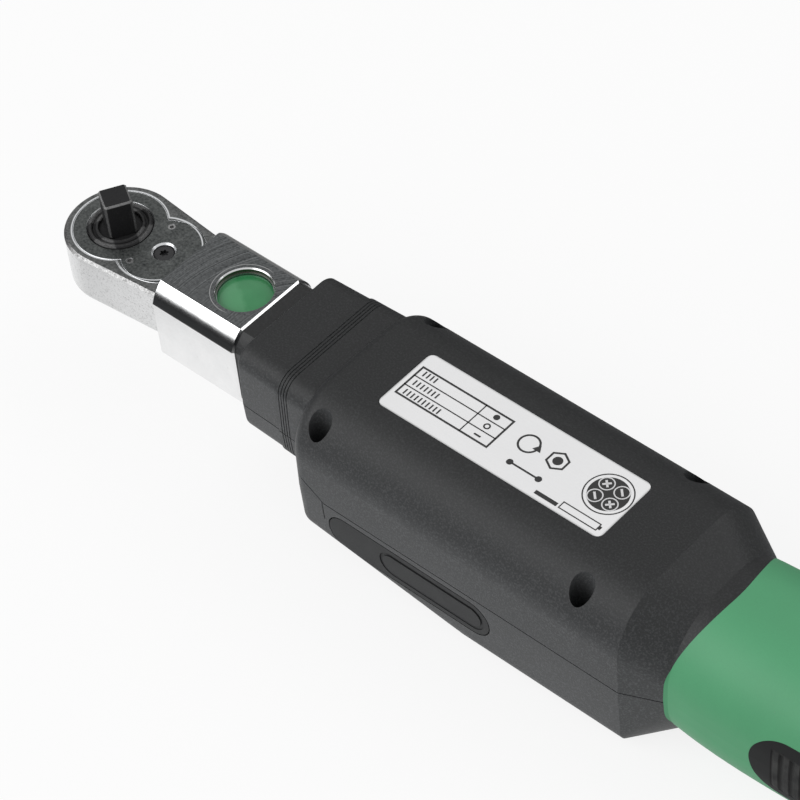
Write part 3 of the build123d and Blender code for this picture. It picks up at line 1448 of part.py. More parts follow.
def make_cap():
    """Bayonet cap: fluted dome, skirt, two lugs and a coin slot."""
    with BuildPart() as cap:
        with BuildSketch(Plane.XZ):
            with BuildLine():
                face = grip_end + TOUCH
                rim = GRIP_FLANGE_R
                outer = Polyline(
                    (tube_end + TOUCH, GRIP_AXIS_Z + CAP_SKIRT_R - CAP_WALL),
                    (tube_end + TOUCH, GRIP_AXIS_Z + CAP_SKIRT_R),
                    (face, GRIP_AXIS_Z + CAP_SKIRT_R),
                    (face, GRIP_AXIS_Z + rim),
                    (face + 4, GRIP_AXIS_Z + rim),
                )
                shoulder = (cap_end, GRIP_AXIS_Z + rim - 6)
                ThreePointArc(outer @ 1, (cap_end - 2.6, GRIP_AXIS_Z + rim - 1.7), shoulder)
                Polyline(
                    shoulder,
                    (cap_end, GRIP_AXIS_Z),
                    (face + 3, GRIP_AXIS_Z),
                    (face + 3, GRIP_AXIS_Z + CAP_SKIRT_R - CAP_WALL),
                    outer @ 0,
                )
            make_face()
        revolve(axis=Axis((0, 0, GRIP_AXIS_Z), (1, 0, 0)))
        add(lug_pair(0, lug_start, LUG_LENGTH))
        with BuildSketch(Plane.YZ.offset(face + 3)):
            with Locations((0, GRIP_AXIS_Z)):
                with PolarLocations(GRIP_FLANGE_R + 1.1, CAP_GRIP_FLUTES):
                    Circle(2.0)
        extrude(amount=CAP_LENGTH, mode=Mode.SUBTRACT)
        with BuildSketch(Plane.YZ.offset(cap_end)):
            with Locations((0, GRIP_AXIS_Z)):
                SlotOverall(20, 2.2)
        extrude(amount=-2.2, mode=Mode.SUBTRACT)
        with BuildSketch(Plane.XZ):
            with Locations((seal_x, GRIP_AXIS_Z + CAP_SKIRT_R)):
                Rectangle(2 * SEAL_WIRE + 2 * RUNNING, 4 * SEAL_WIRE + 2 * RUNNING)
        revolve(axis=Axis((0, 0, GRIP_AXIS_Z), (1, 0, 0)), mode=Mode.SUBTRACT)
    save(cap, "battery_cap")

    with BuildPart() as seal:
        with BuildSketch(Plane.XZ):
            with Locations((seal_x, GRIP_AXIS_Z + CAP_SKIRT_R - SEAL_WIRE)):
                Circle(SEAL_WIRE)
        revolve(axis=Axis((0, 0, GRIP_AXIS_Z), (1, 0, 0)))
    save(seal, "cap_seal")


make_drive()
make_drive_ball()
make_ratchet_head()
make_cover()
make_pawl()
make_reversing_lever()
make_lock_pin()
make_holder()
make_bar()
make_carrier()
make_trip()
make_neck_sleeves()
make_rear_shell()
make_front_shell()
make_screws()
make_electronics()
make_keys()
make_port_cover()
make_grip()
make_battery()
make_cap()
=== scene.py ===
"""Looks of the digital torque wrench: finishes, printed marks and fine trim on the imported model."""
import math

import bmesh
import bpy
from bpy.props import FloatProperty, FloatVectorProperty, PointerProperty, StringProperty
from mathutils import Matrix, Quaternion, Vector


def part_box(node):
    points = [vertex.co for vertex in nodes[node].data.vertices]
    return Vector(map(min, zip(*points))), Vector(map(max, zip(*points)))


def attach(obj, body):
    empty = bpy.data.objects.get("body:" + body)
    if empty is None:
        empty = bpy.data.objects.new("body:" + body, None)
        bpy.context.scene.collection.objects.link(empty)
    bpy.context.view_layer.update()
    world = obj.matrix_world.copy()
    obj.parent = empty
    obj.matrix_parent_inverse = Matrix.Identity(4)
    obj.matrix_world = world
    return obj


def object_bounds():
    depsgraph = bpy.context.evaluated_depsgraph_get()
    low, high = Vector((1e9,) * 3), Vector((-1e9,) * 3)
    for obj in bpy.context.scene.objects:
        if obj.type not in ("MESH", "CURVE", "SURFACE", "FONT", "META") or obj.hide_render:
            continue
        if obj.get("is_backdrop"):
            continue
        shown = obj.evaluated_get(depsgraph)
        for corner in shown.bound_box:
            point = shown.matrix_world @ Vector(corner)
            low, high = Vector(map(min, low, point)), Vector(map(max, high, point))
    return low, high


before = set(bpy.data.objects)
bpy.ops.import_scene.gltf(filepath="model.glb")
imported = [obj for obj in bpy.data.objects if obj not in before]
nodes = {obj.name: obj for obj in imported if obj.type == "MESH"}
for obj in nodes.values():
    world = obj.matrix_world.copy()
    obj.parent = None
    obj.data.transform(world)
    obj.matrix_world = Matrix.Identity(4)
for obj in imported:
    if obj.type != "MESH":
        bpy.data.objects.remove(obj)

bl_info = {
    "name": "Torque Wrench Looks",
    "version": (1, 0, 0),
    "blender": (4, 5, 0),
    "location": "View3D > Sidebar > Wrench",
    "description": "Dresses the packed torque wrench with finishes, marks and fine trim",
    "category": "Object",
}

MM = 0.001

# The photograph's camera, solved from the straight edges of the holder and the label
CAMERA_AZIMUTH = math.radians(46.378)
CAMERA_ELEVATION = math.radians(47.686)
CAMERA_ROLL = math.radians(-6.353)
CAMERA_PLACE = Vector((0.39640, -0.29986, 0.47560))
CAMERA_LENS = 141.15


def box_mm(name):
    """Lowest and highest corner of a solid, in millimetres."""
    low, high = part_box(name)
    return Vector(low) / MM, Vector(high) / MM


# Places of the solids, read from the frame, in millimetres
LABEL_LOW, LABEL_HIGH = box_mm("label_plate")
HOLDER_HIGH = box_mm("insert_holder")[1]
BUTTON_LOW, BUTTON_HIGH = box_mm("release_button")
COVER_HIGH = box_mm("cover_plate")[1]
DRIVE_LOW, DRIVE_HIGH = box_mm("square_drive")
BALL_LOW, BALL_HIGH = box_mm("detent_ball")
WINDOW_LOW, WINDOW_HIGH = box_mm("display_window")
MODULE_LOW = box_mm("display_module")[0]
CAP_LOW, CAP_HIGH = box_mm("battery_cap")
PAD_LOW, PAD_HIGH = box_mm("grip_pads")
BUTTON_X = (BUTTON_LOW.x + BUTTON_HIGH.x) / 2
BUTTON_R = (BUTTON_HIGH.x - BUTTON_LOW.x) / 2
LABEL_X = (LABEL_LOW.x + LABEL_HIGH.x) / 2
WINDOW_X = (WINDOW_LOW.x + WINDOW_HIGH.x) / 2
CAP_Z = (CAP_LOW.z + CAP_HIGH.z) / 2

# The cover plate's outline: a large round over the drive and a smaller one over the pawl
COVER_R = COVER_HIGH.y
COVER_TAIL_R = 9.5
COVER_TAIL_X = COVER_HIGH.x - COVER_TAIL_R

# The square drive: its ball sits in the middle of one flat, so it gives the angle
SQUARE_ANGLE = math.atan2(BALL_LOW.y + BALL_HIGH.y, BALL_LOW.x + BALL_HIGH.x)
SQUARE_HALF = 6.3 / 2
# The ridges of its collar stand outside this radius; place and width of the turned rings below
COLLAR_R = 4.7
TAIL_RINGS = ((2.6, 0.3), (4.5, 0.2))

# Centre of the fly-cutter's arcs, back from the button and to the near side
CUTTER_BACK = 22.0
CUTTER_SIDE = 7.0

# Ribs of the grip pads, and the plain border left and right and above and below them
RIB_PITCH = 2.4
PAD_BORDER_X = 5.2
PAD_BORDER_Z = 2.8


def fill(tree, slot, value):
    """Links a Val to a socket, or writes a plain number or colour on it."""
    if isinstance(value, Val):
        tree.links.new(value.socket, slot)
    elif slot.type == "RGBA":
        slot.default_value = (*value, 1.0)
    else:
        slot.default_value = value


class Val:
    """A shader socket that takes part in sums, so shader maths reads as plain expressions."""

    def __init__(self, tree, socket):
        self.tree = tree
        self.socket = socket

    def calc(self, operation, *values, clamp=False):
        """One Math node over numbers and sockets."""
        node = self.tree.nodes.new("ShaderNodeMath")
        node.operation = operation
        node.use_clamp = clamp
        for slot, value in zip(node.inputs, values):
            fill(self.tree, slot, value)
        return Val(self.tree, node.outputs[0])

    def __add__(self, other):
        return self.calc("ADD", self, other)

    def __radd__(self, other):
        return self.calc("ADD", other, self)

    def __mul__(self, other):
        return self.calc("MULTIPLY", self, other)

    def __rmul__(self, other):
        return self.calc("MULTIPLY", other, self)

    def __sub__(self, other):
        return self.calc("SUBTRACT", self, other)

    def __rsub__(self, other):
        return self.calc("SUBTRACT", other, self)

    def __pow__(self, other):
        return self.calc("POWER", self, other)

    def __abs__(self):
        return self.calc("ABSOLUTE", self)

    def at_least(self, other):
        return self.calc("MAXIMUM", self, other)

    def at_most(self, other):
        return self.calc("MINIMUM", self, other)

    def sine(self):
        return self.calc("SINE", self)

    def above(self, level, soft):
        """0 below the level, 1 above it, with a soft step between."""
        return self.calc("DIVIDE", self - (level - soft / 2), soft, clamp=True)

    def below(self, level, soft):
        return 1 - self.above(level, soft)

    def near(self, level, width, soft):
        """1 within the width round a level."""
        return abs(self - level).below(width / 2, soft)


class Network:
    """The nodes of a material or a world, written as expressions."""

    def __init__(self, tree, output):
        self.tree = tree
        tree.nodes.clear()
        self.output = tree.nodes.new(output)
        self.place_node = tree.nodes.new("ShaderNodeTexCoord")

    def node(self, kind, settings=None, **values):
        """Adds a node: settings first, then the values or links of its sockets by name."""
        made = self.tree.nodes.new(kind)
        for key, value in (settings or {}).items():
            setattr(made, key, value)
        for key, value in values.items():
            fill(self.tree, made.inputs[key.replace("_", " ")], value)
        return made

    def show(self, shader):
        self.tree.links.new(shader.outputs[0], self.output.inputs[0])

    def axes(self, vector):
        """The x, y and z of a vector."""
        made = self.node("ShaderNodeSeparateXYZ", Vector=vector)
        return [Val(self.tree, out) for out in made.outputs]

    def rays(self):
        """Is Camera Ray, and glossy or transmitted rays together."""
        path = self.node("ShaderNodeLightPath")
        seen, glossy, clear = (
            Val(self.tree, path.outputs[f"Is {kind} Ray"])
            for kind in ("Camera", "Glossy", "Transmission")
        )
        return seen, glossy.at_least(clear)


class Finish(Network):
    """One procedural material on the surface's own coordinates, with sizes in millimetres."""

    def __init__(self, name):
        self.material = bpy.data.materials.new(name)
        self.material.use_nodes = True
        super().__init__(self.material.node_tree, "ShaderNodeOutputMaterial")
        self.place = Val(self.tree, self.place_node.outputs["Object"])
        self.facing = Val(self.tree, self.place_node.outputs["Normal"])

    def xyz(self):
        """Place on the part, in millimetres."""
        return [part * (1 / MM) for part in self.axes(self.place)]

    def up(self):
        """How far the surface faces upwards, 1 on a level top."""
        return self.axes(self.facing)[2]

    def vector(self, x, y, z):
        """A place for a texture, put together from its parts."""
        made = self.node("ShaderNodeCombineXYZ", X=x, Y=y, Z=z)
        return Val(self.tree, made.outputs[0])

    def noise(self, scale, detail=2.0, rough=0.5, vector=None):
        """Noise from 0 to 1, scale in cells per millimetre."""
        made = self.node(
            "ShaderNodeTexNoise",
            Vector=vector or self.place,
            Scale=scale if vector else scale / MM,
            Detail=detail,
            Roughness=rough,
        )
        return Val(self.tree, made.outputs[0])

    def specks(self, scale, size, spread, amount):
        """Scattered small spots, gathered in loose groups."""
        spots = self.node("ShaderNodeTexVoronoi", Vector=self.place, Scale=scale / MM)
        near = Val(self.tree, spots.outputs["Distance"]).below(size, size)
        return near * self.noise(spread).above(amount, 0.12)

    def blend(self, mask, low, high):
        """Colour that goes from low to high as the mask goes from 0 to 1."""
        made = self.node("ShaderNodeMix", {"data_type": "RGBA"})
        for index, value in ((0, mask), (6, low), (7, high)):
            fill(self.tree, made.inputs[index], value)
        return Val(self.tree, made.outputs[2])

    def bump(self, height, depth):
        """Normal from a height of 0 to 1, depth in millimetres."""
        made = self.node("ShaderNodeBump", Height=height, Strength=1.0, Distance=depth * MM)
        return Val(self.tree, made.outputs[0])

    def surface(self, colour, relief=None, gloss=0.5, **sockets):
        """The shader: colour, a height with its depth, gloss, then other sockets by name."""
        if relief:
            sockets["Normal"] = self.bump(*relief)
        sockets["Specular IOR Level"] = gloss
        self.show(self.node("ShaderNodeBsdfPrincipled", Base_Color=colour, **sockets))
        return self.material


def shade(colour, factor):
    """A colour made lighter or darker, never past full."""
    return tuple(min(channel * factor, 1.0) for channel in colour)


# Painted highlight: a pale grey laid on the edges and joints of the head and the cover, for the light
# they catch
PAINTED_HIGHLIGHT = (0.6, 0.61, 0.62)
DUST = (0.2, 0.2, 0.19)


def cover_joint(x, y):
    """Signed distance, in millimetres, from the joint round the cover plate."""
    over_drive = (x * x + y * y) ** 0.5 - COVER_R
    tail_x = x - COVER_TAIL_X
    over_pawl = (tail_x * tail_x + y * y) ** 0.5 - COVER_TAIL_R
    return over_drive.at_most(over_pawl)


def moulded_black(name, colour, grain=0.07, rough=0.5):
    """Black moulded plastic with a fine spark-eroded grain, flow marks, a little dust, and a painted
    sheen that lightens its flanks and the grain speckle on them.
    """
    f = Finish(name)
    coarse = f.noise(2.3, 3, 0.7)
    fine = f.noise(6.5, 2)
    flow = f.noise(0.05, 3)
    height = coarse * 0.65 + fine * 0.35
    speck = coarse.above(0.56, 0.14)
    side = 1 - abs(f.up())
    base = f.blend(height.above(0.5, 0.5) * 0.7 + flow * 0.3, shade(colour, 0.5), shade(colour, 1.6))
    # Painted sheen: the flanks are made lighter, and the grain speckle stronger on them, for the
    # light falling on the sides
    base = f.blend(side * 0.48 + speck * (0.1 + side * 0.35), base, shade(colour, 7.2))
    base = f.blend(f.specks(0.3, 0.03, 0.1, 0.58) * 0.4, base, DUST)
    return f.surface(
        base, Roughness=rough + (height - 0.5) * 0.3 + (flow - 0.5) * 0.1, gloss=0.28,
        relief=(height, grain),
    )


def grip_satin(name, colour):
    """Green soft-touch plastic of the grip, satin with a very fine grain."""
    f = Finish(name)
    grain = f.noise(3.0, 3, 0.6)
    cloud = f.noise(0.06, 3)
    base = f.blend(cloud * 0.5 + grain * 0.5, shade(colour, 0.84), shade(colour, 1.14))
    base = f.blend(f.specks(0.3, 0.03, 0.1, 0.58) * 0.25, base, DUST)
    return f.surface(
        base, Roughness=0.44 + grain * 0.14, gloss=0.4, relief=(grain, 0.016),
    )


def rubber_black(name, colour, rough=0.62):
    """Soft black rubber with a dull, slightly cloudy skin, and a painted sheen that lightens its
    flanks.
    """
    f = Finish(name)
    grain = f.noise(3.0, 3, 0.6)
    cloud = f.noise(0.2, 3)
    side = 1 - abs(f.up())
    base = f.blend(cloud * 0.6 + grain * 0.4, shade(colour, 0.7), shade(colour, 1.4))
    # Painted sheen: the flanks are made lighter in their grainy spots, for the light falling on the
    # sides
    return f.surface(
        f.blend(side * 0.3 * grain.above(0.3, 0.5), base, shade(colour, 5.0)),
        Roughness=rough + (cloud - 0.5) * 0.16, gloss=0.3, relief=(grain, 0.02),
    )


def ribbed_rubber(name, colour):
    """Rubber of the grip pads: round cross ribs inside a plain border, with painted shade in the
    grooves between the ribs.
    """
    f = Finish(name)
    x, _, z = f.xyz()
    middle = (PAD_LOW + PAD_HIGH) / 2
    half = (PAD_HIGH - PAD_LOW) / 2
    along = abs(x - middle.x).below(half.x - PAD_BORDER_X, 0.5)
    field = along * abs(z - middle.z).below(half.z - PAD_BORDER_Z, 0.5)
    rib = ((x - middle.x) * (2 * math.pi / RIB_PITCH)).sine().above(-0.3, 1.2)
    height = rib * field + (1 - field)
    grain = f.noise(3.0, 3, 0.6)
    base = f.blend(grain, shade(colour, 0.7), shade(colour, 1.4))
    # Painted shade: the grooves between the ribs are darkened
    base = f.blend((1 - height) * 0.7, base, shade(colour, 0.3))
    worn = height * field * f.noise(0.3, 3).above(0.5, 0.3)
    return f.surface(
        f.blend(worn * 0.12, base, DUST), Roughness=0.6 + grain * 0.14 - worn * 0.08,
        gloss=0.3, relief=(height + grain * 0.03, 0.5),
    )


def steel(name, colour, rough=0.3, grain=(0.3, 5.0, 5.0), depth=0.006):
    """Ground or drawn steel: fine streaks along the given axis and a little handling haze."""
    f = Finish(name)
    x, y, z = f.xyz()
    streak = f.noise(1.0, 3, 0.6, f.vector(x * grain[0], y * grain[1], z * grain[2]))
    haze = f.noise(0.15, 3)
    return f.surface(
        f.blend(streak * 0.6 + haze * 0.4, shade(colour, 0.7), colour), Metallic=1.0,
        Roughness=rough + (streak - 0.5) * 0.16 + (haze - 0.5) * 0.1, relief=(streak, depth),
    )


def head_chrome(name):
    """Polished flank with a stony grey face: the ring round the cover is ground flat. A painted
    highlight runs along the joint round the cover, painted reflection lightens the flank towards the
    top, and painted shade darkens the rounding between face and flank.
    """
    f = Finish(name)
    x, y, z = f.xyz()
    top = f.up().above(0.96, 0.04)
    # Painted highlight: a bright line on the face along the joint round the cover
    joint = cover_joint(x, y).near(0.12, 0.42, 0.16) * top
    grit = f.noise(1.7, 4, 0.8)
    scuff = f.noise(0.5, 4, 0.75)
    ripple = f.noise(1.0, 2, 0.5, f.vector(x * 0.3, y * 0.3, z * 0.16))
    # Painted reflection: this mask makes the polished flank lighter towards the top and darker lower
    # down
    painted_flank_gradient = z.above(COVER_HIGH.z - 9.0, 14.0)
    slope = f.up().above(0.3, 0.1) * (1 - top)
    pits = f.specks(0.6, 0.06, 0.2, 0.5)
    stony = (grit * 0.7 + scuff * 0.3).above(0.52, 0.36)
    ground = f.blend(stony, (0.04, 0.042, 0.042), (0.22, 0.225, 0.222))
    polish = f.blend(scuff * 0.35 + painted_flank_gradient * 0.65, (0.62, 0.625, 0.625), (0.95, 0.955, 0.96))
    flank = f.blend(grit.above(0.6, 0.14) * 0.5, polish, (0.24, 0.24, 0.24))
    # Painted shade: the sloped rounding between face and flank is darkened
    painted_rounding_shade = f.blend(grit.above(0.5, 0.3), (0.16, 0.16, 0.16), (0.42, 0.42, 0.42))
    base = f.blend(joint, f.blend(top, flank, ground), PAINTED_HIGHLIGHT)
    base = f.blend(slope, base, painted_rounding_shade)
    base = f.blend(pits * 0.6, base, (0.08, 0.08, 0.08))
    return f.surface(
        base, Metallic=1.0,
        Roughness=0.16 + ripple * 0.12 + slope * 0.16 + top * (1 - joint) * (0.2 + grit * 0.12),
        relief=(ripple * 0.5 + grit * top * 0.14 + scuff * 0.14, 0.05),
    )


def cover_satin(name):
    """Bead-blasted steel cover; its cut edges and sloped faces carry a painted highlight."""
    f = Finish(name)
    x, y, _ = f.xyz()
    flat = f.up().above(0.97, 0.03)
    edge = cover_joint(x, y).near(-0.06, 0.3, 0.12)
    grit = f.noise(1.7, 4, 0.8)
    cloud = f.noise(0.25, 3)
    blasted = (grit * 0.75 + cloud * 0.25).above(0.52, 0.36)
    face = f.blend(blasted, (0.024, 0.027, 0.027), (0.15, 0.157, 0.154))
    # Painted highlight on the cut edges and every sloped face of the cover
    painted_highlight_mask = edge.at_least(1 - flat)
    return f.surface(
        f.blend(painted_highlight_mask, face, PAINTED_HIGHLIGHT), Metallic=0.95,
        Roughness=0.38 + grit * 0.12 - painted_highlight_mask * 0.16, relief=(grit * flat, 0.012),
    )


def holder_metal(name):
    """Chromed holder: the top is fly-cut in wide arcs, the shoulders and flanks are polished. Painted
    shade darkens a band along the bend of the shoulders and the wall of the button's bore.
    """
    f = Finish(name)
    x, y, z = f.xyz()
    top = f.up().above(0.985, 0.02) * z.above(HOLDER_HIGH.z - 0.3, 0.2)
    cut_x = x - (BUTTON_X + CUTTER_BACK)
    cut_y = y + CUTTER_SIDE
    radius = (cut_x * cut_x + cut_y * cut_y) ** 0.5
    lines = f.noise(1.0, 3, 0.65, f.vector(radius * 3.0, cut_y * 0.02, 0.0))
    coarse = f.noise(1.0, 2, 0.5, f.vector(radius * 0.45, cut_y * 0.01, 3.0))
    grit = f.noise(1.8, 3, 0.75)
    # Painted shade: a dark band along the bend of the shoulders
    painted_crease_shade = f.up().above(0.3, 0.12) * f.up().below(0.62, 0.3) * (1 - top)
    hole_x = x - BUTTON_X
    hole = (hole_x * hole_x + y * y) ** 0.5
    bore = hole.below(BUTTON_R + 0.5, 0.1) * z.below(HOLDER_HIGH.z - 0.32, 0.1)
    wall = bore * abs(f.up()).below(0.5, 0.2)
    tool_mark = hole.near(BUTTON_R + 1.25, 0.12, 0.08) * hole_x.below(1.0, 2.0) * top
    ripple = f.noise(1.0, 2, 0.5, f.vector(x * 0.16, y * 0.3, z * 0.14))
    mottle = f.noise(0.6, 4, 0.75)
    pits = f.specks(0.45, 0.045, 0.15, 0.5)
    cut = (lines * 0.6 + coarse * 0.06 + grit * 0.4).above(0.54, 0.36)
    brushed = f.blend(cut, (0.022, 0.024, 0.025), (0.19, 0.197, 0.2))
    brushed = f.blend(tool_mark, brushed, (0.4, 0.4, 0.4))
    polish = f.blend(ripple * 0.5 + mottle * 0.5, (0.76, 0.765, 0.77), (0.97, 0.97, 0.97))
    base = f.blend(top, f.blend(painted_crease_shade, polish, (0.16, 0.165, 0.17)), brushed)
    # Painted shade: the wall of the button's bore is darkened
    base = f.blend(wall, base, (0.12, 0.125, 0.095))
    base = f.blend(pits * 0.5 * (1 - top), base, (0.08, 0.08, 0.08))
    return f.surface(
        base, Metallic=1.0, Roughness=0.15 + ripple * 0.05 + mottle * 0.05 + top * 0.2 + wall * 0.2,
        relief=((ripple * 0.6 + mottle * 0.22) * (1 - top) + lines * top * 0.2, 0.06),
    )


def drive_black(name):
    """Black-oxide square drive, rubbed to grey along its working edges and ridge tops."""
    f = Finish(name)
    x, y, z = f.xyz()
    c, s = math.cos(SQUARE_ANGLE), math.sin(SQUARE_ANGLE)
    along = abs(x * c + y * s)
    across = abs(y * c - x * s)
    corner = along.at_most(across).above(SQUARE_HALF - 0.5, 0.25) * z.above(-0.6, 0.3)
    rim = z.above(DRIVE_HIGH.z - 0.42, 0.2) * z.below(DRIVE_HIGH.z - 0.02, 0.02)
    radius = (x * x + y * y) ** 0.5
    ridge = z.above(-0.2, 0.1) * z.below(0.4, 0.1) * radius.above(COLLAR_R, 0.1)
    tail_end = z.below(DRIVE_LOW.z + 0.1, 0.1)
    turning = (radius * 9.0).sine().above(0.0, 1.6) * tail_end
    inner, outer = (radius.near(place, width, 0.1) for place, width in TAIL_RINGS)
    step = inner.at_least(outer) * tail_end
    grit = f.noise(3.0, 3, 0.65)
    edges = (corner * 0.3).at_least(rim * 0.75)
    wear = (edges + ridge * 0.08 + turning * 0.08 + step * 0.3) * grit.above(0.38, 0.3)
    base = f.blend(grit, (0.006, 0.006, 0.0065), (0.024, 0.024, 0.025))
    return f.surface(
        f.blend(wear, base, (0.26, 0.26, 0.26)), Metallic=0.1, Roughness=0.42 + grit * 0.2,
        gloss=0.17, relief=(grit + turning - step * 2.0, 0.015),
    )


def black_oxide(name):
    """Blackened steel of screws and the lever, oily and slightly uneven."""
    f = Finish(name)
    grit = f.noise(3.0, 3, 0.6)
    cloud = f.noise(0.4, 3)
    return f.surface(
        f.blend(cloud * 0.5 + grit * 0.5, (0.008, 0.008, 0.009), (0.045, 0.045, 0.047)),
        Metallic=0.5, Roughness=0.26 + grit * 0.2, gloss=0.4, relief=(grit, 0.012),
    )


def gloss_cap(name, colour):
    """Glossy moulded cap of the release button, with a painted sheen that makes it paler towards the
    front and the near side.
    """
    f = Finish(name)
    x, y, _ = f.xyz()
    cloud = f.noise(0.35, 2)
    fine = f.noise(2.0, 2)
    # Painted sheen: paler on the side towards the front and the near side
    painted_sheen = ((BUTTON_X - x) * 0.6 - y + cloud * 3.0).above(2.6, 1.6)
    base = f.blend(cloud * 0.7 + fine * 0.3, shade(colour, 0.85), shade(colour, 1.15))
    return f.surface(
        f.blend(painted_sheen * 0.3, base, tuple(channel * 1.3 + 0.09 for channel in colour)),
        Roughness=0.26 + cloud * 0.08 + painted_sheen * 0.06, gloss=0.3,
        Coat_Weight=0.3 + cloud * 0.3, Coat_Roughness=0.08, relief=(cloud, 0.03),
    )


def label_foil(name, colour):
    """Silver-white label foil, satin, with a faint drawn grain and darker cut edges."""
    f = Finish(name)
    x, y, z = f.xyz()
    drawn = f.noise(1.0, 3, 0.6, f.vector(x * 0.4, y * 7.0, z))
    cloud = f.noise(0.06, 2)
    half_x = (LABEL_HIGH.x - LABEL_LOW.x) / 2
    rim_x = abs(x - LABEL_X).above(half_x - 0.25, 0.3)
    rim_y = abs(y).above(LABEL_HIGH.y - 0.25, 0.3)
    base = f.blend(drawn * 0.5 + cloud * 0.5, shade(colour, 0.9), shade(colour, 1.04))
    base = f.blend(rim_x.at_least(rim_y) * 0.5, base, (0.3, 0.3, 0.3))
    return f.surface(
        base, Metallic=0.05, Roughness=0.36 + drawn * 0.1, gloss=0.3, relief=(drawn, 0.002),
    )


def plain_plastic(name, colour, rough, grain):
    """Moulded or printed colour with slight mottling."""
    f = Finish(name)
    grit = f.noise(4.0, 3, 0.6)
    cloud = f.noise(0.2, 2)
    return f.surface(
        f.blend(grit * 0.4 + cloud * 0.6, shade(colour, 0.82), shade(colour, 1.12)),
        Roughness=rough + (grit - 0.5) * 0.15, relief=(grit, grain),
    )


def clear_window(name):
    """Clear display window with faint smears."""
    f = Finish(name)
    smear = f.noise(0.12, 3)
    return f.surface(
        f.blend(smear, (0.8, 0.83, 0.83), (0.88, 0.9, 0.9)), Roughness=0.01 + smear * 0.03,
        Transmission_Weight=0.9, IOR=1.49, Alpha=0.1 + smear * 0.05,
    )


def display_glass(name, colour):
    """Liquid-crystal panel: pale grey-green with a faint grid of its cells."""
    f = Finish(name)
    x, y, _ = f.xyz()
    grid = ((x * 9.0).sine() * (y * 9.0).sine()).above(0.2, 0.6)
    cloud = f.noise(0.08, 2)
    return f.surface(
        f.blend(grid * 0.3 + cloud * 0.7, shade(colour, 0.86), shade(colour, 1.1)),
        Roughness=0.24 + cloud * 0.1, relief=(grid, 0.002),
    )


def board_mask(name):
    """Green solder mask with tracks showing through it as a paler weave."""
    f = Finish(name)
    x, y, _ = f.xyz()
    lanes = (y * 4.2).sine().above(0.55, 0.2) * f.noise(0.2).above(0.48, 0.05)
    cross = (x * 3.1).sine().above(0.7, 0.2) * f.noise(0.13).above(0.5, 0.05)
    tracks = lanes.at_least(cross)
    return f.surface(
        f.blend(tracks, (0.012, 0.085, 0.035), (0.05, 0.2, 0.085)), Roughness=0.3 + tracks * 0.06,
        relief=(tracks, 0.03),
    )


def printed_sleeve(name):
    """Printed sleeve of a dry cell: dark body with a metallic band at one end."""
    f = Finish(name)
    x, _, _ = f.xyz()
    band = x.above(PAD_HIGH.x - 8.0, 0.2)
    fine = f.noise(2.0, 2)
    return f.surface(
        f.blend(band, f.blend(fine, (0.02, 0.022, 0.026), (0.04, 0.043, 0.05)), (0.5, 0.34, 0.14)),
        Metallic=0.35 + band * 0.4, Roughness=0.26 + fine * 0.08, relief=(fine, 0.003),
    )


def colour_property(title, description, default):
    """A colour that the panel shows."""
    return FloatVectorProperty(
        name=title, description=description, default=default, subtype="COLOR", min=0.0, max=1.0
    )


def length_property(title, description, size):
    """A length that the panel shows, its default given in millimetres."""
    return FloatProperty(name=title, description=description, default=size * MM, unit="LENGTH")


class ColourSettings(bpy.types.PropertyGroup):
    """Colours of the moulded and printed pieces."""

    case: colour_property("Case", "Colour of the housing and the neck", (0.0135, 0.014, 0.0145))
    grip: colour_property("Grip", "Colour of the grip shell", (0.077, 0.312, 0.15))
    button: colour_property("Button", "Colour of the release button", (0.027, 0.2, 0.07))
    pads: colour_property("Pads", "Colour of the rubber pads, keys and flap", (0.0125, 0.013, 0.0135))
    label: colour_property("Label", "Colour of the label foil", (0.83, 0.83, 0.835))
    ink: colour_property("Ink", "Colour of the dark printed marks", (0.008, 0.008, 0.008))
    paint: colour_property("Paint", "Colour of the pale printed marks", (0.66, 0.66, 0.665))
    glass: colour_property("Display", "Colour of the unlit display", (0.34, 0.385, 0.31))


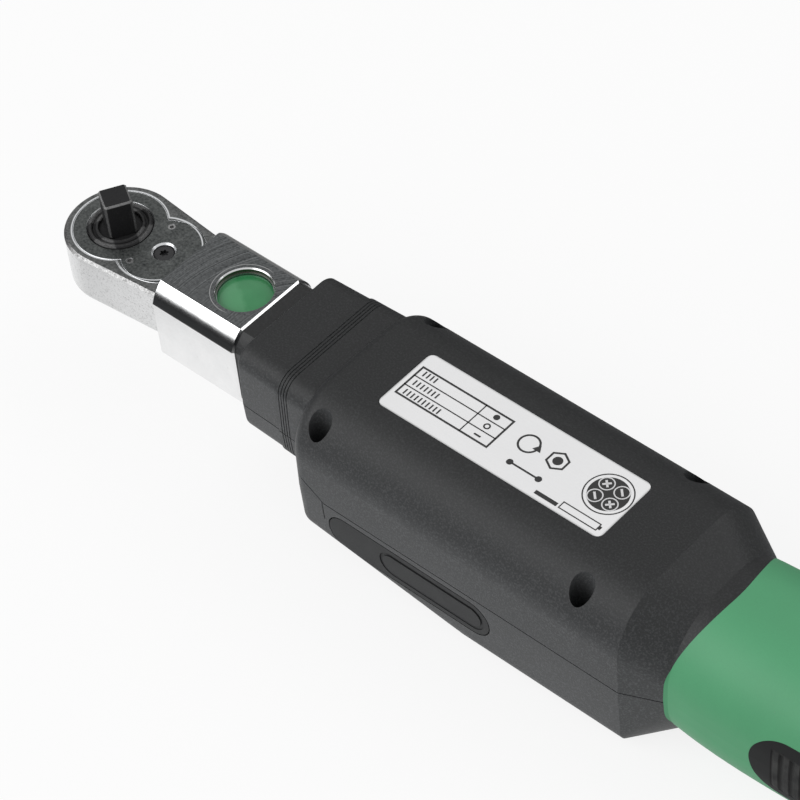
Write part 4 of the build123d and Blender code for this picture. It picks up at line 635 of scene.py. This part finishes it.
FINISHES = {
    "case": lambda c: moulded_black("case_black", c.case),
    "sleeve": lambda c: moulded_black("sleeve_black", shade(c.case, 1.05), 0.08, 0.48),
    "inner": lambda c: moulded_black("inner_black", shade(c.case, 0.8), 0.015, 0.42),
    "green": lambda c: grip_satin("grip_green", c.grip),
    "rubber": lambda c: rubber_black("rubber_black", c.pads),
    "ribbed": lambda c: ribbed_rubber("ribbed_rubber", c.pads),
    "seal": lambda c: rubber_black("seal_rubber", shade(c.pads, 0.7), 0.5),
    "head": lambda c: head_chrome("head_chrome"),
    "cover": lambda c: cover_satin("cover_satin"),
    "holder": lambda c: holder_metal("holder_metal"),
    "drive": lambda c: drive_black("drive_black"),
    "oxide": lambda c: black_oxide("black_oxide"),
    "ball": lambda c: steel("bearing_ball", (0.8, 0.8, 0.81), 0.1, (0.5, 0.5, 0.5), 0.001),
    "ground": lambda c: steel("ground_steel", (0.5, 0.51, 0.52)),
    "tiny": lambda c: steel("screw_steel", (0.3, 0.3, 0.3), 0.24, (2.0, 2.0, 2.0), 0.004),
    "wire": lambda c: steel("spring_wire", (0.42, 0.43, 0.45), 0.28, (2.0, 2.0, 2.0), 0.004),
    "plated": lambda c: steel("plated_steel", (0.55, 0.56, 0.55), 0.36, (0.15, 3.0, 3.0), 0.005),
    "bronze": lambda c: steel("bush_bronze", (0.52, 0.36, 0.17), 0.38, (3.0, 3.0, 3.0)),
    "brass": lambda c: steel("contact_brass", (0.66, 0.52, 0.24), 0.3, (2.0, 0.4, 2.0), 0.004),
    "button": lambda c: gloss_cap("button_green", c.button),
    "label": lambda c: label_foil("label_foil", c.label),
    "window": lambda c: clear_window("window_clear"),
    "lens": lambda c: plain_plastic("lens_smoke", (0.03, 0.031, 0.033), 0.12, 0.001),
    "board": lambda c: board_mask("board_green"),
    "foil": lambda c: plain_plastic("gauge_foil", (0.45, 0.3, 0.1), 0.4, 0.004),
    "jacket": lambda c: printed_sleeve("cell_jacket"),
    "glass": lambda c: display_glass("display_glass", c.glass),
    "ink": lambda c: plain_plastic("printed_ink", c.ink, 0.4, 0.002),
    "paint": lambda c: plain_plastic("printed_pale", c.paint, 0.5, 0.002),
}
made_finishes = {}


def finish_of(key):
    """The material of that key, made when it is first asked for."""
    if key not in made_finishes:
        made_finishes[key] = FINISHES[key](bpy.context.scene.wrench_colours)
    return made_finishes[key]


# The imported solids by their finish
SOLIDS = {
    "case": "rear_shell front_shell battery_cap",
    "sleeve": "neck_sleeve_upper neck_sleeve_lower",
    "inner": "holder_collar display_module buzzer battery_tube",
    "green": "grip_shell",
    "rubber": "power_key mode_key down_key up_key port_cover",
    "ribbed": "grip_pads",
    "seal": "key_mat cap_seal",
    "head": "ratchet_head",
    "cover": "cover_plate",
    "holder": "insert_holder",
    "drive": "square_drive",
    "oxide": "reversing_lever lobe_screw housing_screws",
    "ball": "detent_ball",
    "ground": "pawl pawl_plunger lock_pin measuring_bar bar_pin pivot_pin trip_rod",
    "tiny": "cover_screws",
    "wire": "ball_spring pawl_spring lock_pin_spring button_clip trip_springs cell_springs",
    "plated": "carrier_frame port_socket",
    "bronze": "pivot_bushes trip_carriage",
    "brass": "front_contacts rear_contact_plate",
    "button": "release_button",
    "label": "label_plate",
    "window": "display_window",
    "lens": "signal_lens",
    "board": "main_board",
    "foil": "strain_gauges",
    "jacket": "cell_1 cell_2 cell_3 cell_4",
}
NODE_FINISH = {name: key for key, names in SOLIDS.items() for name in names.split()}


def coat(piece, key):
    """Gives a piece one finish all over."""
    piece.data.materials.clear()
    piece.data.materials.append(finish_of(key))


class WRENCH_OT_finishes(bpy.types.Operator):
    """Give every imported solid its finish"""

    bl_idname = "wrench.finishes"
    bl_label = "Finishes"

    def execute(self, context):
        for name, solid in nodes.items():
            coat(solid, NODE_FINISH[name])
        return {"FINISHED"}


def only(piece):
    """Selects a piece by itself."""
    bpy.ops.object.select_all(action="DESELECT")
    piece.select_set(True)
    bpy.context.view_layer.objects.active = piece


def settle():
    """Puts the active object's place, turn and size into its mesh."""
    bpy.ops.object.transform_apply(location=True, rotation=True, scale=True)


def start(kind, stretch=(1.0, 1.0, 1.0), **shape):
    """Adds a primitive by itself, puts its place into its mesh and opens it for editing."""
    bpy.ops.object.select_all(action="DESELECT")
    for key in ("size", "radius"):
        if key in shape:
            shape[key] *= MM
    shape["location"] = tuple(value * MM for value in shape["location"])
    getattr(bpy.ops.mesh, f"primitive_{kind}_add")(**shape)
    bpy.context.object.scale = stretch
    settle()
    bpy.ops.object.mode_set(mode="EDIT")
    bpy.ops.mesh.select_all(action="SELECT")


def circle(location, radius, sides, **shape):
    """Opens a filled circle, or a polygon of few sides, for editing."""
    start("circle", location=location, radius=radius, vertices=sides, fill_type="NGON", **shape)


def cut_corners(offset, segments=1):
    """Cuts or rounds the corners of the open flat face."""
    bpy.ops.mesh.bevel(offset=offset * MM, segments=segments, affect="VERTICES")
    bpy.ops.mesh.select_all(action="SELECT")


def cut_away():
    """Deletes the picked faces and selects what is left."""
    bpy.ops.mesh.delete(type="FACE")
    bpy.ops.mesh.select_all(action="SELECT")


def pick(test):
    """Selects the faces of the open mesh whose centre, in millimetres, passes the test."""
    mesh = bmesh.from_edit_mesh(bpy.context.edit_object.data)
    bpy.ops.mesh.select_all(action="DESELECT")
    for face in mesh.faces:
        face.select = test(face.calc_center_median() / MM)
    mesh.select_flush(True)
    bmesh.update_edit_mesh(bpy.context.edit_object.data)


def hollow(width):
    """Leaves only a line of that width round the rim of the open flat face."""
    bpy.ops.mesh.inset(thickness=width * MM)
    cut_away()


def stamp(thick):
    """Thickens the open flat face into a printed mark and closes the mesh."""
    bpy.ops.mesh.extrude_region_move(TRANSFORM_OT_translate={"value": (0, 0, thick * MM)})
    bpy.ops.mesh.select_all(action="SELECT")
    bpy.ops.mesh.normals_make_consistent(inside=False)
    bpy.ops.object.mode_set(mode="OBJECT")
    return bpy.context.object


def bar(x, y, z, wide, tall, thick, corner=0.0):
    """A flat printed bar, wide along x and tall along y, with cut corners where asked."""
    start("plane", size=1.0, location=(x, y, z), stretch=(wide, tall, 1.0))
    if corner:
        cut_corners(corner)
    return stamp(thick)


def frame_line(x, y, z, wide, tall, width, thick):
    """A rectangle drawn as a line."""
    start("plane", size=1.0, location=(x, y, z), stretch=(wide, tall, 1.0))
    hollow(width)
    return stamp(thick)


def round_line(x, y, z, radius, width, thick, sides=64):
    """A circle or a polygon drawn as a line."""
    circle((x, y, z), radius, sides)
    hollow(width)
    return stamp(thick)


def disc(x, y, z, radius, thick, sides=48):
    """A filled circle or polygon."""
    circle((x, y, z), radius, sides)
    return stamp(thick)


def moved_copy(piece, shift):
    """A copy with its own mesh, moved by a shift in millimetres."""
    only(piece)
    bpy.ops.object.duplicate(linked=False)
    bpy.ops.transform.translate(value=tuple(step * MM for step in shift))
    settle()
    return bpy.context.object


def turned(piece, angle, centre, axis="Z"):
    """Turns a piece about a point in millimetres."""
    only(piece)
    middle = tuple(value * MM for value in centre)
    bpy.ops.transform.rotate(value=angle, orient_axis=axis, center_override=middle)
    settle()
    return piece


def finished(name, parts, key, body):
    """Joins the parts into one piece with a finish, riding on a body."""
    only(parts[0])
    for part in parts:
        part.select_set(True)
    if len(parts) > 1:
        bpy.ops.object.join()
    piece = bpy.context.object
    piece.name = piece.data.name = name
    coat(piece, key)
    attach(piece, body)


class LabelSettings(bpy.types.PropertyGroup):
    """Sizes of the print on the label."""

    line: length_property("Line width", "Width of the printed lines", 0.46)
    ink_height: length_property("Ink height", "How far the print stands proud", 0.03)
    pictogram_radius: length_property("Pictogram radius", "Radius of the cell pictogram", 5.3)


class WRENCH_OT_label_marks(bpy.types.Operator):
    """Print the plain table with its tally marks and the plain signs on the label"""

    bl_idname = "wrench.label_marks"
    bl_label = "Label marks"

    # The table's middle, width and height
    TABLE = (LABEL_LOW.x + 13.4, 0.25, 24.7, 9.0)
    COLUMN = 0.2
    # Small shapes of the narrow column: a spot's radius, a ring's radius and line, a bar's size
    UNIT_SPOT = 0.72
    UNIT_RING = (0.8, 0.34)
    UNIT_BAR = (1.7, 0.42)
    # Strokes in each row, then a stroke's width, height, pitch and place from the frame
    TALLIES = (4, 7, 10)
    STROKE = (0.36, 1.5)
    STROKE_PITCH = 1.0
    STROKE_INSET = 1.7
    # Middles of the signs, and their sizes
    TURN_SIGN = (LABEL_LOW.x + 31.7, 1.9)
    BOLT_SIGN = (LABEL_LOW.x + 39.1, 1.9)
    SLIDE_DROP = 6.0
    SLIDE_HALF = 3.7
    SIGN_R = 2.5
    SIGN_LINE = 0.45
    ARROW_R = 1.15
    BOLT_SPOT_R = 1.1
    SPOT_R = 0.75
    # The dark end of the cell holder, its four cells and the size of their plus and minus
    PICTOGRAM = (LABEL_HIGH.x - 5.65, 1.4)
    RING_GAP = 0.95
    CELL_R = 1.72
    CELL_LINE = 0.26
    CELL_STEP = 1.9
    SIGN = (1.9, 0.48)
    # The cell outline near the lower edge: from the label's end and edge, size; its nub; the bar
    CELL_OUTLINE = (6.55, 2.2, 9.6, 2.0)
    NUB = (0.5, 0.9)
    STOP = (5.6, 0.95)

    def execute(self, context):
        settings = context.scene.wrench_label
        self.line = settings.line / MM
        self.thin = self.line * 0.6
        self.ink = settings.ink_height / MM
        self.z = LABEL_HIGH.z
        dark = self.table() + self.tallies() + self.plain_signs()
        dark += self.pictogram(settings.pictogram_radius / MM) + self.outline()
        finished("label_marks", dark, "ink", "handle")
        finished("label_signs", self.signs(), "paint", "handle")
        return {"FINISHED"}

    def table(self):
        """A framed table of three rows and two columns."""
        x, y, wide, tall = self.TABLE
        row = bar(x, y - tall / 6, self.z, wide, self.thin, self.ink)
        column = bar(x + wide * self.COLUMN, y, self.z, self.thin, tall, self.ink)
        edge = frame_line(x, y, self.z, wide, tall, self.line, self.ink)
        return [edge, row, moved_copy(row, (0, tall / 3, 0)), column]

    def tallies(self):
        """Rows of short strokes in the wide column and one small shape each in the other."""
        x, y, wide, tall = self.TABLE
        row, unit_x = tall / 3, x + wide * (self.COLUMN + 0.5) / 2
        stroke = bar(x - wide / 2 + self.STROKE_INSET, y + row, self.z, *self.STROKE, self.ink)
        shifts = [
            (index * self.STROKE_PITCH, -line * row, 0)
            for line, count in enumerate(self.TALLIES) for index in range(count)
        ]
        strokes = [moved_copy(stroke, shift) for shift in shifts[1:]]
        units = [
            disc(unit_x, y + row, self.z, self.UNIT_SPOT, self.ink),
            round_line(unit_x, y, self.z, *self.UNIT_RING, self.ink, 32),
            bar(unit_x, y - row, self.z, *self.UNIT_BAR, self.ink),
        ]
        return [stroke, *strokes, *units]

    def plain_signs(self):
        """A turning arrow, a bolt head and a slide between two spots."""
        (turn_x, turn_y), (bolt_x, bolt_y) = self.TURN_SIGN, self.BOLT_SIGN
        slide_x, slide_y = (turn_x + bolt_x) / 2, turn_y - self.SLIDE_DROP
        over = self.ink * 1.2
        return [
            round_line(turn_x, turn_y, self.z, self.SIGN_R, self.SIGN_LINE, self.ink),
            disc(turn_x + self.SIGN_R - 0.22, turn_y, self.z, self.ARROW_R, over, 3),
            round_line(bolt_x, bolt_y, self.z, self.SIGN_R + 0.1, self.SIGN_LINE, self.ink, 6),
            disc(bolt_x, bolt_y, self.z, self.BOLT_SPOT_R, self.ink),
            bar(slide_x, slide_y, self.z, 2 * self.SLIDE_HALF, 0.42, self.ink),
            disc(slide_x - self.SLIDE_HALF, slide_y, self.z, self.SPOT_R, over, 32),
            disc(slide_x + self.SLIDE_HALF, slide_y, self.z, self.SPOT_R, over, 32),
        ]

    def cell_places(self):
        """Middles of the four cells."""
        x, y = self.PICTOGRAM
        step = self.CELL_STEP
        return [(x + a * step, y + b * step) for a, b in ((-1, -1), (1, -1), (1, 1), (-1, 1))]

    def pictogram(self, radius):
        """A ring round the dark end of the cell holder."""
        x, y = self.PICTOGRAM
        return [
            round_line(x, y, self.z, radius, self.thin, self.ink),
            disc(x, y, self.z, radius - self.RING_GAP, self.ink),
        ]

    def signs(self):
        """The rims of the four cells, with plus and minus turn about."""
        top = self.z + self.ink
        first, *rest = self.cell_places()
        rim = round_line(*first, top, self.CELL_R, self.CELL_LINE, self.ink, 40)
        minus = turned(bar(*first, top, *self.SIGN, self.ink), math.radians(45), (*first, top))
        marks = [rim, minus]
        for index, (x, y) in enumerate(rest):
            shift = (x - first[0], y - first[1], 0)
            sign = moved_copy(minus, shift)
            marks += [moved_copy(rim, shift), sign]
            if index % 2 == 0:
                marks.append(turned(moved_copy(sign, (0, 0, 0)), math.radians(90), (x, y, top)))
        return marks

    def outline(self):
        """A small flat cell outline and a short bar beside it."""
        from_end, from_edge, wide, tall = self.CELL_OUTLINE
        x, y = LABEL_HIGH.x - from_end, LABEL_LOW.y + from_edge
        body = frame_line(x, y, self.z, wide, tall, self.line * 0.55, self.ink)
        nub = bar(x + (wide + self.NUB[0]) / 2, y, self.z, *self.NUB, self.ink)
        stop = bar(x - wide / 2 - 3.3, y - 0.55, self.z, *self.STOP, self.ink)
        return [body, nub, stop]


class DisplaySettings(bpy.types.PropertyGroup):
    """What the display shows, and how large."""

    reading: StringProperty(
        name="Reading", description="Digits shown, with one point place", default="0.00"
    )
    digit_height: length_property("Digit height", "Height of the digits", 9.0)
    border: length_property("Border", "Width of the dark window border", 2.6)


class WRENCH_OT_display(bpy.types.Operator):
    """Fit the display panel, its digits and the dark border behind the window"""

    bl_idname = "wrench.display"
    bl_label = "Display"

    # Segments a to g that the digits 0 to 9 light
    LIT = (
        "abcdef", "bc", "abged", "abgcd", "fgbc", "afgcd", "afgedc", "abc", "abcdefg", "abcdfg"
    )
    # A digit's width and stroke in heights, and its pitch in widths
    DIGIT_WIDE = 0.52
    DIGIT_STROKE = 0.13
    DIGIT_PITCH = 1.45
    PRINT = -0.03
    # Rims left free by the border and the panel, and their thickness
    BORDER_RIM = 0.2
    BORDER_THICK = 0.08
    PANEL_RIM = 1.7
    PANEL_THICK = 0.3
    # The cell sign above the digits: gap, place across, size; the rule below them: gap, size
    CELL_SIGN = (2.4, 8.0, 1.4, 3.0)
    RULE = (2.2, 0.25, 20.0)

    def execute(self, context):
        settings = context.scene.wrench_display
        wide = WINDOW_HIGH.x - WINDOW_LOW.x
        tall = WINDOW_HIGH.y - WINDOW_LOW.y
        rim, thick = 2 * self.BORDER_RIM, self.BORDER_THICK
        z = WINDOW_HIGH.z + thick / 2
        edge = frame_line(WINDOW_X, 0, z, wide - rim, tall - rim, settings.border / MM, thick)
        finished("window_border", [edge], "ink", "handle")
        rim, thick = 2 * self.PANEL_RIM, self.PANEL_THICK
        self.face = MODULE_LOW.z - thick
        middle = (WINDOW_X, 0, MODULE_LOW.z - thick / 2)
        start("cube", (wide - rim, tall - rim, thick), size=1.0, location=middle)
        bpy.ops.mesh.bevel(offset=0.1 * MM, segments=2, affect="EDGES")
        bpy.ops.object.mode_set(mode="OBJECT")
        finished("display_panel", [context.object], "glass", "handle")
        finished("display_digits", self.digits(settings), "ink", "handle")
        return {"FINISHED"}

    def digits(self, settings):
        """Seven-segment digits, upright with the head up, read from below."""
        tall = settings.digit_height / MM
        wide = tall * self.DIGIT_WIDE
        stroke = tall * self.DIGIT_STROKE
        shown = [mark for mark in settings.reading if mark != "."]
        gap = wide * self.DIGIT_PITCH
        marks = []
        for index, mark in enumerate(shown):
            y = ((len(shown) - 1) / 2 - index) * gap
            marks += self.digit(mark, y, wide, tall, stroke)
        point = settings.reading.find(".")
        if point > 0:
            x, y = WINDOW_X + tall / 2, ((len(shown) - 1) / 2 - point + 0.5) * gap
            marks.append(bar(x, y, self.face, stroke, stroke, self.PRINT, stroke * 0.2))
        off, y, short, long = self.CELL_SIGN
        x = WINDOW_X - tall / 2 - off
        marks.append(frame_line(x, y, self.face, short, long, 0.25, self.PRINT))
        marks.append(bar(x, y + 0.35, self.face, 0.6, 1.4, self.PRINT))
        off, short, long = self.RULE
        marks.append(bar(WINDOW_X + tall / 2 + off, 0.0, self.face, short, long, self.PRINT))
        return marks

    def digit(self, mark, y, wide, tall, stroke):
        """One digit: its lit segments, each a bar with cut corners."""
        reach = tall / 2 - stroke / 2
        side = wide / 2 - stroke / 2
        places = {
            "a": (-reach, 0, False), "d": (reach, 0, False), "g": (0, 0, False),
            "b": (-reach / 2, -side, True), "c": (reach / 2, -side, True),
            "f": (-reach / 2, side, True), "e": (reach / 2, side, True),
        }
        across = wide - stroke * 1.25
        along = tall / 2 - stroke * 1.2
        pieces = []
        for segment in self.LIT[int(mark)]:
            dx, dy, upright = places[segment]
            size = (along, stroke) if upright else (stroke, across)
            pieces.append(bar(WINDOW_X + dx, y + dy, self.face, *size, self.PRINT, stroke * 0.42))
        return pieces


class WRENCH_OT_key_marks(bpy.types.Operator):
    """Print the sign on each of the four keys"""

    bl_idname = "wrench.key_marks"
    bl_label = "Key marks"

    THICK = -0.05
    CORNER = 0.1
    # The ring is cut open beyond this distance from its middle; place and size of its bar
    RING_R = 1.7
    RING_OPEN = 1.0
    RING_BAR_X = 1.2
    RING_BAR = (1.7, 0.4)
    LINE = 0.38
    LONG = 3.0
    STEP = 1.1
    ARROW_R = 1.9
    ARROW_CORNER = 0.25

    def execute(self, context):
        signs = {
            "power_key": self.power,
            "mode_key": self.mode,
            "down_key": self.arrow,
            "up_key": lambda middle: self.arrow(middle, -1),
        }
        for key, sign in signs.items():
            low, high = box_mm(key)
            middle = ((low.x + high.x) / 2, (low.y + high.y) / 2, low.z)
            finished(f"{key}_mark", sign(middle), "paint", key)
        return {"FINISHED"}

    def power(self, middle):
        """A ring open towards the head, with a bar in the gap."""
        x, y, z = middle
        circle(middle, self.RING_R, 48)
        hollow(self.LINE)
        pick(lambda place: place.x < x - self.RING_OPEN)
        cut_away()
        ring = stamp(self.THICK)
        return [ring, bar(x - self.RING_BAR_X, y, z, *self.RING_BAR, self.THICK, self.CORNER)]

    def mode(self, middle):
        """Three short rules."""
        x, y, z = middle
        rule = bar(x - self.STEP, y, z, self.LINE, self.LONG, self.THICK, self.CORNER)
        return [rule, moved_copy(rule, (self.STEP, 0, 0)), moved_copy(rule, (2 * self.STEP, 0, 0))]

    def arrow(self, middle, way=1):
        """A triangle towards the grip for less, towards the head for more."""
        circle(middle, self.ARROW_R, 3)
        cut_corners(self.ARROW_CORNER, 3)
        return [turned(stamp(self.THICK), math.radians(90 * way), middle)]


class WRENCH_OT_cap_marks(bpy.types.Operator):
    """Print the turning arc, its arrow and the two end spots on the battery cap"""

    bl_idname = "wrench.cap_marks"
    bl_label = "Cap marks"

    RADIUS = 9.2
    LINE = 0.5
    PROUD = 0.04
    TIP_R = 1.3
    SPOT_R = 0.75
    # Degrees that the arc spans, and from its ends to the two spots
    SPAN = 60.0
    TO_CLOSED = 16.0
    TO_OPEN = 9.0

    def execute(self, context):
        end = CAP_HIGH.x
        arc = self.arc(end)
        tip = self.spot(end, 3, self.TIP_R, self.SPAN / 2)
        closed = self.spot(end, 32, self.SPOT_R, self.SPAN / 2 + self.TO_CLOSED)
        opened = self.spot(end, 32, self.SPOT_R, -self.SPAN / 2 - self.TO_OPEN)
        finished("cap_marks", [arc, tip, closed, opened], "paint", "cap")
        return {"FINISHED"}

    def arc(self, end):
        """A printed arc over the top of the cap's flat end, cut out of a ring."""
        circle((end, 0, CAP_Z), self.RADIUS, 96, rotation=(0, math.radians(90), 0))
        hollow(self.LINE)
        reach = math.tan(math.radians(self.SPAN / 2))
        pick(lambda place: place.z - CAP_Z < abs(place.y) / reach)
        cut_away()
        return self.raised()

    def spot(self, end, sides, radius, angle):
        """A small filled mark on the arc's circle, at an angle from the top."""
        height = CAP_Z + self.RADIUS - self.LINE / 2
        circle((end, 0, height), radius, sides, rotation=(0, math.radians(90), 0))
        cut_corners(radius * 0.12, 2)
        return turned(self.raised(), math.radians(angle), (end, 0, CAP_Z), "X")

    def raised(self):
        """Thickens the open flat face away from the cap."""
        bpy.ops.mesh.extrude_region_move(TRANSFORM_OT_translate={"value": (-self.PROUD * MM, 0, 0)})
        bpy.ops.mesh.select_all(action="SELECT")
        bpy.ops.transform.translate(value=(self.PROUD / 2 * MM, 0, 0))
        bpy.ops.mesh.normals_make_consistent(inside=False)
        bpy.ops.object.mode_set(mode="OBJECT")
        return bpy.context.object


class StageSettings(bpy.types.PropertyGroup):
    """The floor and the strength of the lights."""

    floor_size: FloatProperty(
        name="Floor size", description="Side of the square floor", default=3.0, unit="LENGTH"
    )
    floor_colour: colour_property("Floor colour", "Colour of the pale floor", (0.88, 0.88, 0.88))
    sky: FloatProperty(
        name="Room light", description="Strength of the even light all round", default=0.55,
        min=0.0, soft_max=1.0, subtype="FACTOR",
    )
    key_power: FloatProperty(
        name="Key light", description="Power of the large soft light", default=10.0, unit="POWER"
    )
    fill_power: FloatProperty(
        name="Fill light", description="Power of the soft light behind", default=1.5, unit="POWER"
    )


# Share of plain white in the floor, as the camera and as metal and glass see it
WHITE_SEEN = 0.84
WHITE_MIRRORED = 0.85
# Metal and glass see the floor dark at this distance from the wrench, with a soft step
DARK_FROM = 54.0
DARK_SOFT = 36.0
FLOOR_DARK = 0.96
# They see the room dark too, between these two heights
BAND_LOW = -0.35
BAND_HIGH = 0.36
BAND_DARK = 0.97


def stage_material(name, colour):
    """Pale matt floor. Camera, metal and glass see it near white, with a little of its shadow."""
    f = Finish(name)
    x, y, _ = f.xyz()
    seen, mirrored = f.rays()
    speck = f.noise(0.02, 2)
    matt = f.node("ShaderNodeBsdfDiffuse", Color=f.blend(speck, shade(colour, 0.985), colour))
    middle_x = (BUTTON_X + LABEL_X) / 2 - x
    away = (middle_x * middle_x * 0.12 + y * y) ** 0.5
    level = 1 - mirrored * away.above(DARK_FROM, DARK_SOFT) * FLOOR_DARK
    glow = f.node("ShaderNodeEmission", Color=(1.0, 1.0, 1.0), Strength=level)
    mixed = f.node("ShaderNodeMixShader", Fac=seen * WHITE_SEEN + mirrored * WHITE_MIRRORED)
    f.tree.links.new(matt.outputs[0], mixed.inputs[1])
    f.tree.links.new(glow.outputs[0], mixed.inputs[2])
    f.show(mixed)
    return f.material


def soft_light(name, place, aim, size, power):
    """A rectangular lamp turned towards a point."""
    data = bpy.data.lights.new(name, "AREA")
    data.shape = "RECTANGLE"
    data.size, data.size_y = size
    data.energy = power
    lamp = bpy.data.objects.new(name, data)
    lamp.location = place
    lamp.rotation_mode = "QUATERNION"
    lamp.rotation_quaternion = (Vector(aim) - Vector(place)).to_track_quat("-Z", "Y")
    bpy.context.scene.collection.objects.link(lamp)


def pale_world(strength):
    """White to the camera, metal and glass, with a dark band low round the room for the metal."""
    world = bpy.data.worlds.new("studio")
    bpy.context.scene.world = world
    world.use_nodes = True
    room = Network(world.node_tree, "ShaderNodeOutputWorld")
    seen, mirrored = room.rays()
    height = room.axes(Val(room.tree, room.place_node.outputs["Generated"]))[2]
    band = height.above(BAND_LOW, 0.1) * height.below(BAND_HIGH, 0.4)
    white = seen.at_least(mirrored)
    level = white * (1 - mirrored * band * BAND_DARK) + (1 - white) * strength
    room.show(room.node("ShaderNodeBackground", Color=(1.0, 1.0, 1.0), Strength=level))


class WRENCH_OT_stage(bpy.types.Operator):
    """Lay the pale floor, hang the soft lights and set the photograph's camera"""

    bl_idname = "wrench.stage"
    bl_label = "Stage"

    # Places and sizes of the lamps, in metres
    KEY_PLACE = (-0.45, -0.86, 0.74)
    KEY_SIZE = (1.4, 1.0)
    FILL_PLACE = (0.45, 0.55, 0.6)
    FILL_SIZE = (0.7, 0.5)
    LIGHT_AIM = (0.1, 0.0, 0.0)

    def execute(self, context):
        settings = context.scene.wrench_stage
        low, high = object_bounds()
        bpy.ops.object.select_all(action="DESELECT")
        bpy.ops.mesh.primitive_plane_add(
            size=settings.floor_size, location=((low.x + high.x) / 2, 0, low.z)
        )
        settle()
        floor = context.object
        floor.name = "floor"
        floor.data.materials.append(stage_material("floor_white", settings.floor_colour))
        floor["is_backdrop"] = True
        pale_world(settings.sky)
        soft_light("key", self.KEY_PLACE, self.LIGHT_AIM, self.KEY_SIZE, settings.key_power)
        soft_light("fill", self.FILL_PLACE, self.LIGHT_AIM, self.FILL_SIZE, settings.fill_power)
        self.camera(context)
        context.scene.view_settings.view_transform = "Standard"
        return {"FINISHED"}

    def camera(self, context):
        """The photograph's camera."""
        data = bpy.data.cameras.new("camera")
        data.sensor_width = 36.0
        data.lens = CAMERA_LENS
        data.clip_start = 0.01
        data.clip_end = 10.0
        camera = bpy.data.objects.new("camera", data)
        context.scene.collection.objects.link(camera)
        level = math.cos(CAMERA_ELEVATION)
        back = Vector((
            math.sin(CAMERA_AZIMUTH) * level,
            -math.cos(CAMERA_AZIMUTH) * level,
            math.sin(CAMERA_ELEVATION),
        ))
        camera.rotation_mode = "QUATERNION"
        turn = (-back).to_track_quat("-Z", "Y")
        camera.rotation_quaternion = Quaternion(back, CAMERA_ROLL) @ turn
        camera.location = CAMERA_PLACE
        context.scene.camera = camera


STEPS = ("finishes", "label_marks", "display", "key_marks", "cap_marks", "stage")
SETTINGS = {
    "wrench_colours": ColourSettings,
    "wrench_label": LabelSettings,
    "wrench_display": DisplaySettings,
    "wrench_stage": StageSettings,
}


class WRENCH_PT_panel(bpy.types.Panel):
    """Lists the steps that dress the wrench"""

    bl_label = "Wrench"
    bl_idname = "WRENCH_PT_panel"
    bl_space_type = "VIEW_3D"
    bl_region_type = "UI"
    bl_category = "Wrench"

    def draw(self, context):
        for step in STEPS:
            self.layout.operator(f"wrench.{step}")
        for group, kind in SETTINGS.items():
            for name in kind.__annotations__:
                self.layout.prop(getattr(context.scene, group), name)


OPERATORS = (
    WRENCH_OT_finishes, WRENCH_OT_label_marks, WRENCH_OT_display, WRENCH_OT_key_marks,
    WRENCH_OT_cap_marks, WRENCH_OT_stage,
)
CLASSES = (*SETTINGS.values(), *OPERATORS, WRENCH_PT_panel)


def register():
    for cls in CLASSES:
        bpy.utils.register_class(cls)
    for group, kind in SETTINGS.items():
        setattr(bpy.types.Scene, group, PointerProperty(type=kind))


def unregister():
    for group in SETTINGS:
        delattr(bpy.types.Scene, group)
    for cls in reversed(CLASSES):
        bpy.utils.unregister_class(cls)


def main():
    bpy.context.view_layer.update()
    register()
    for step in STEPS:
        getattr(bpy.ops.wrench, step)()


if __name__ == "__main__":
    main()
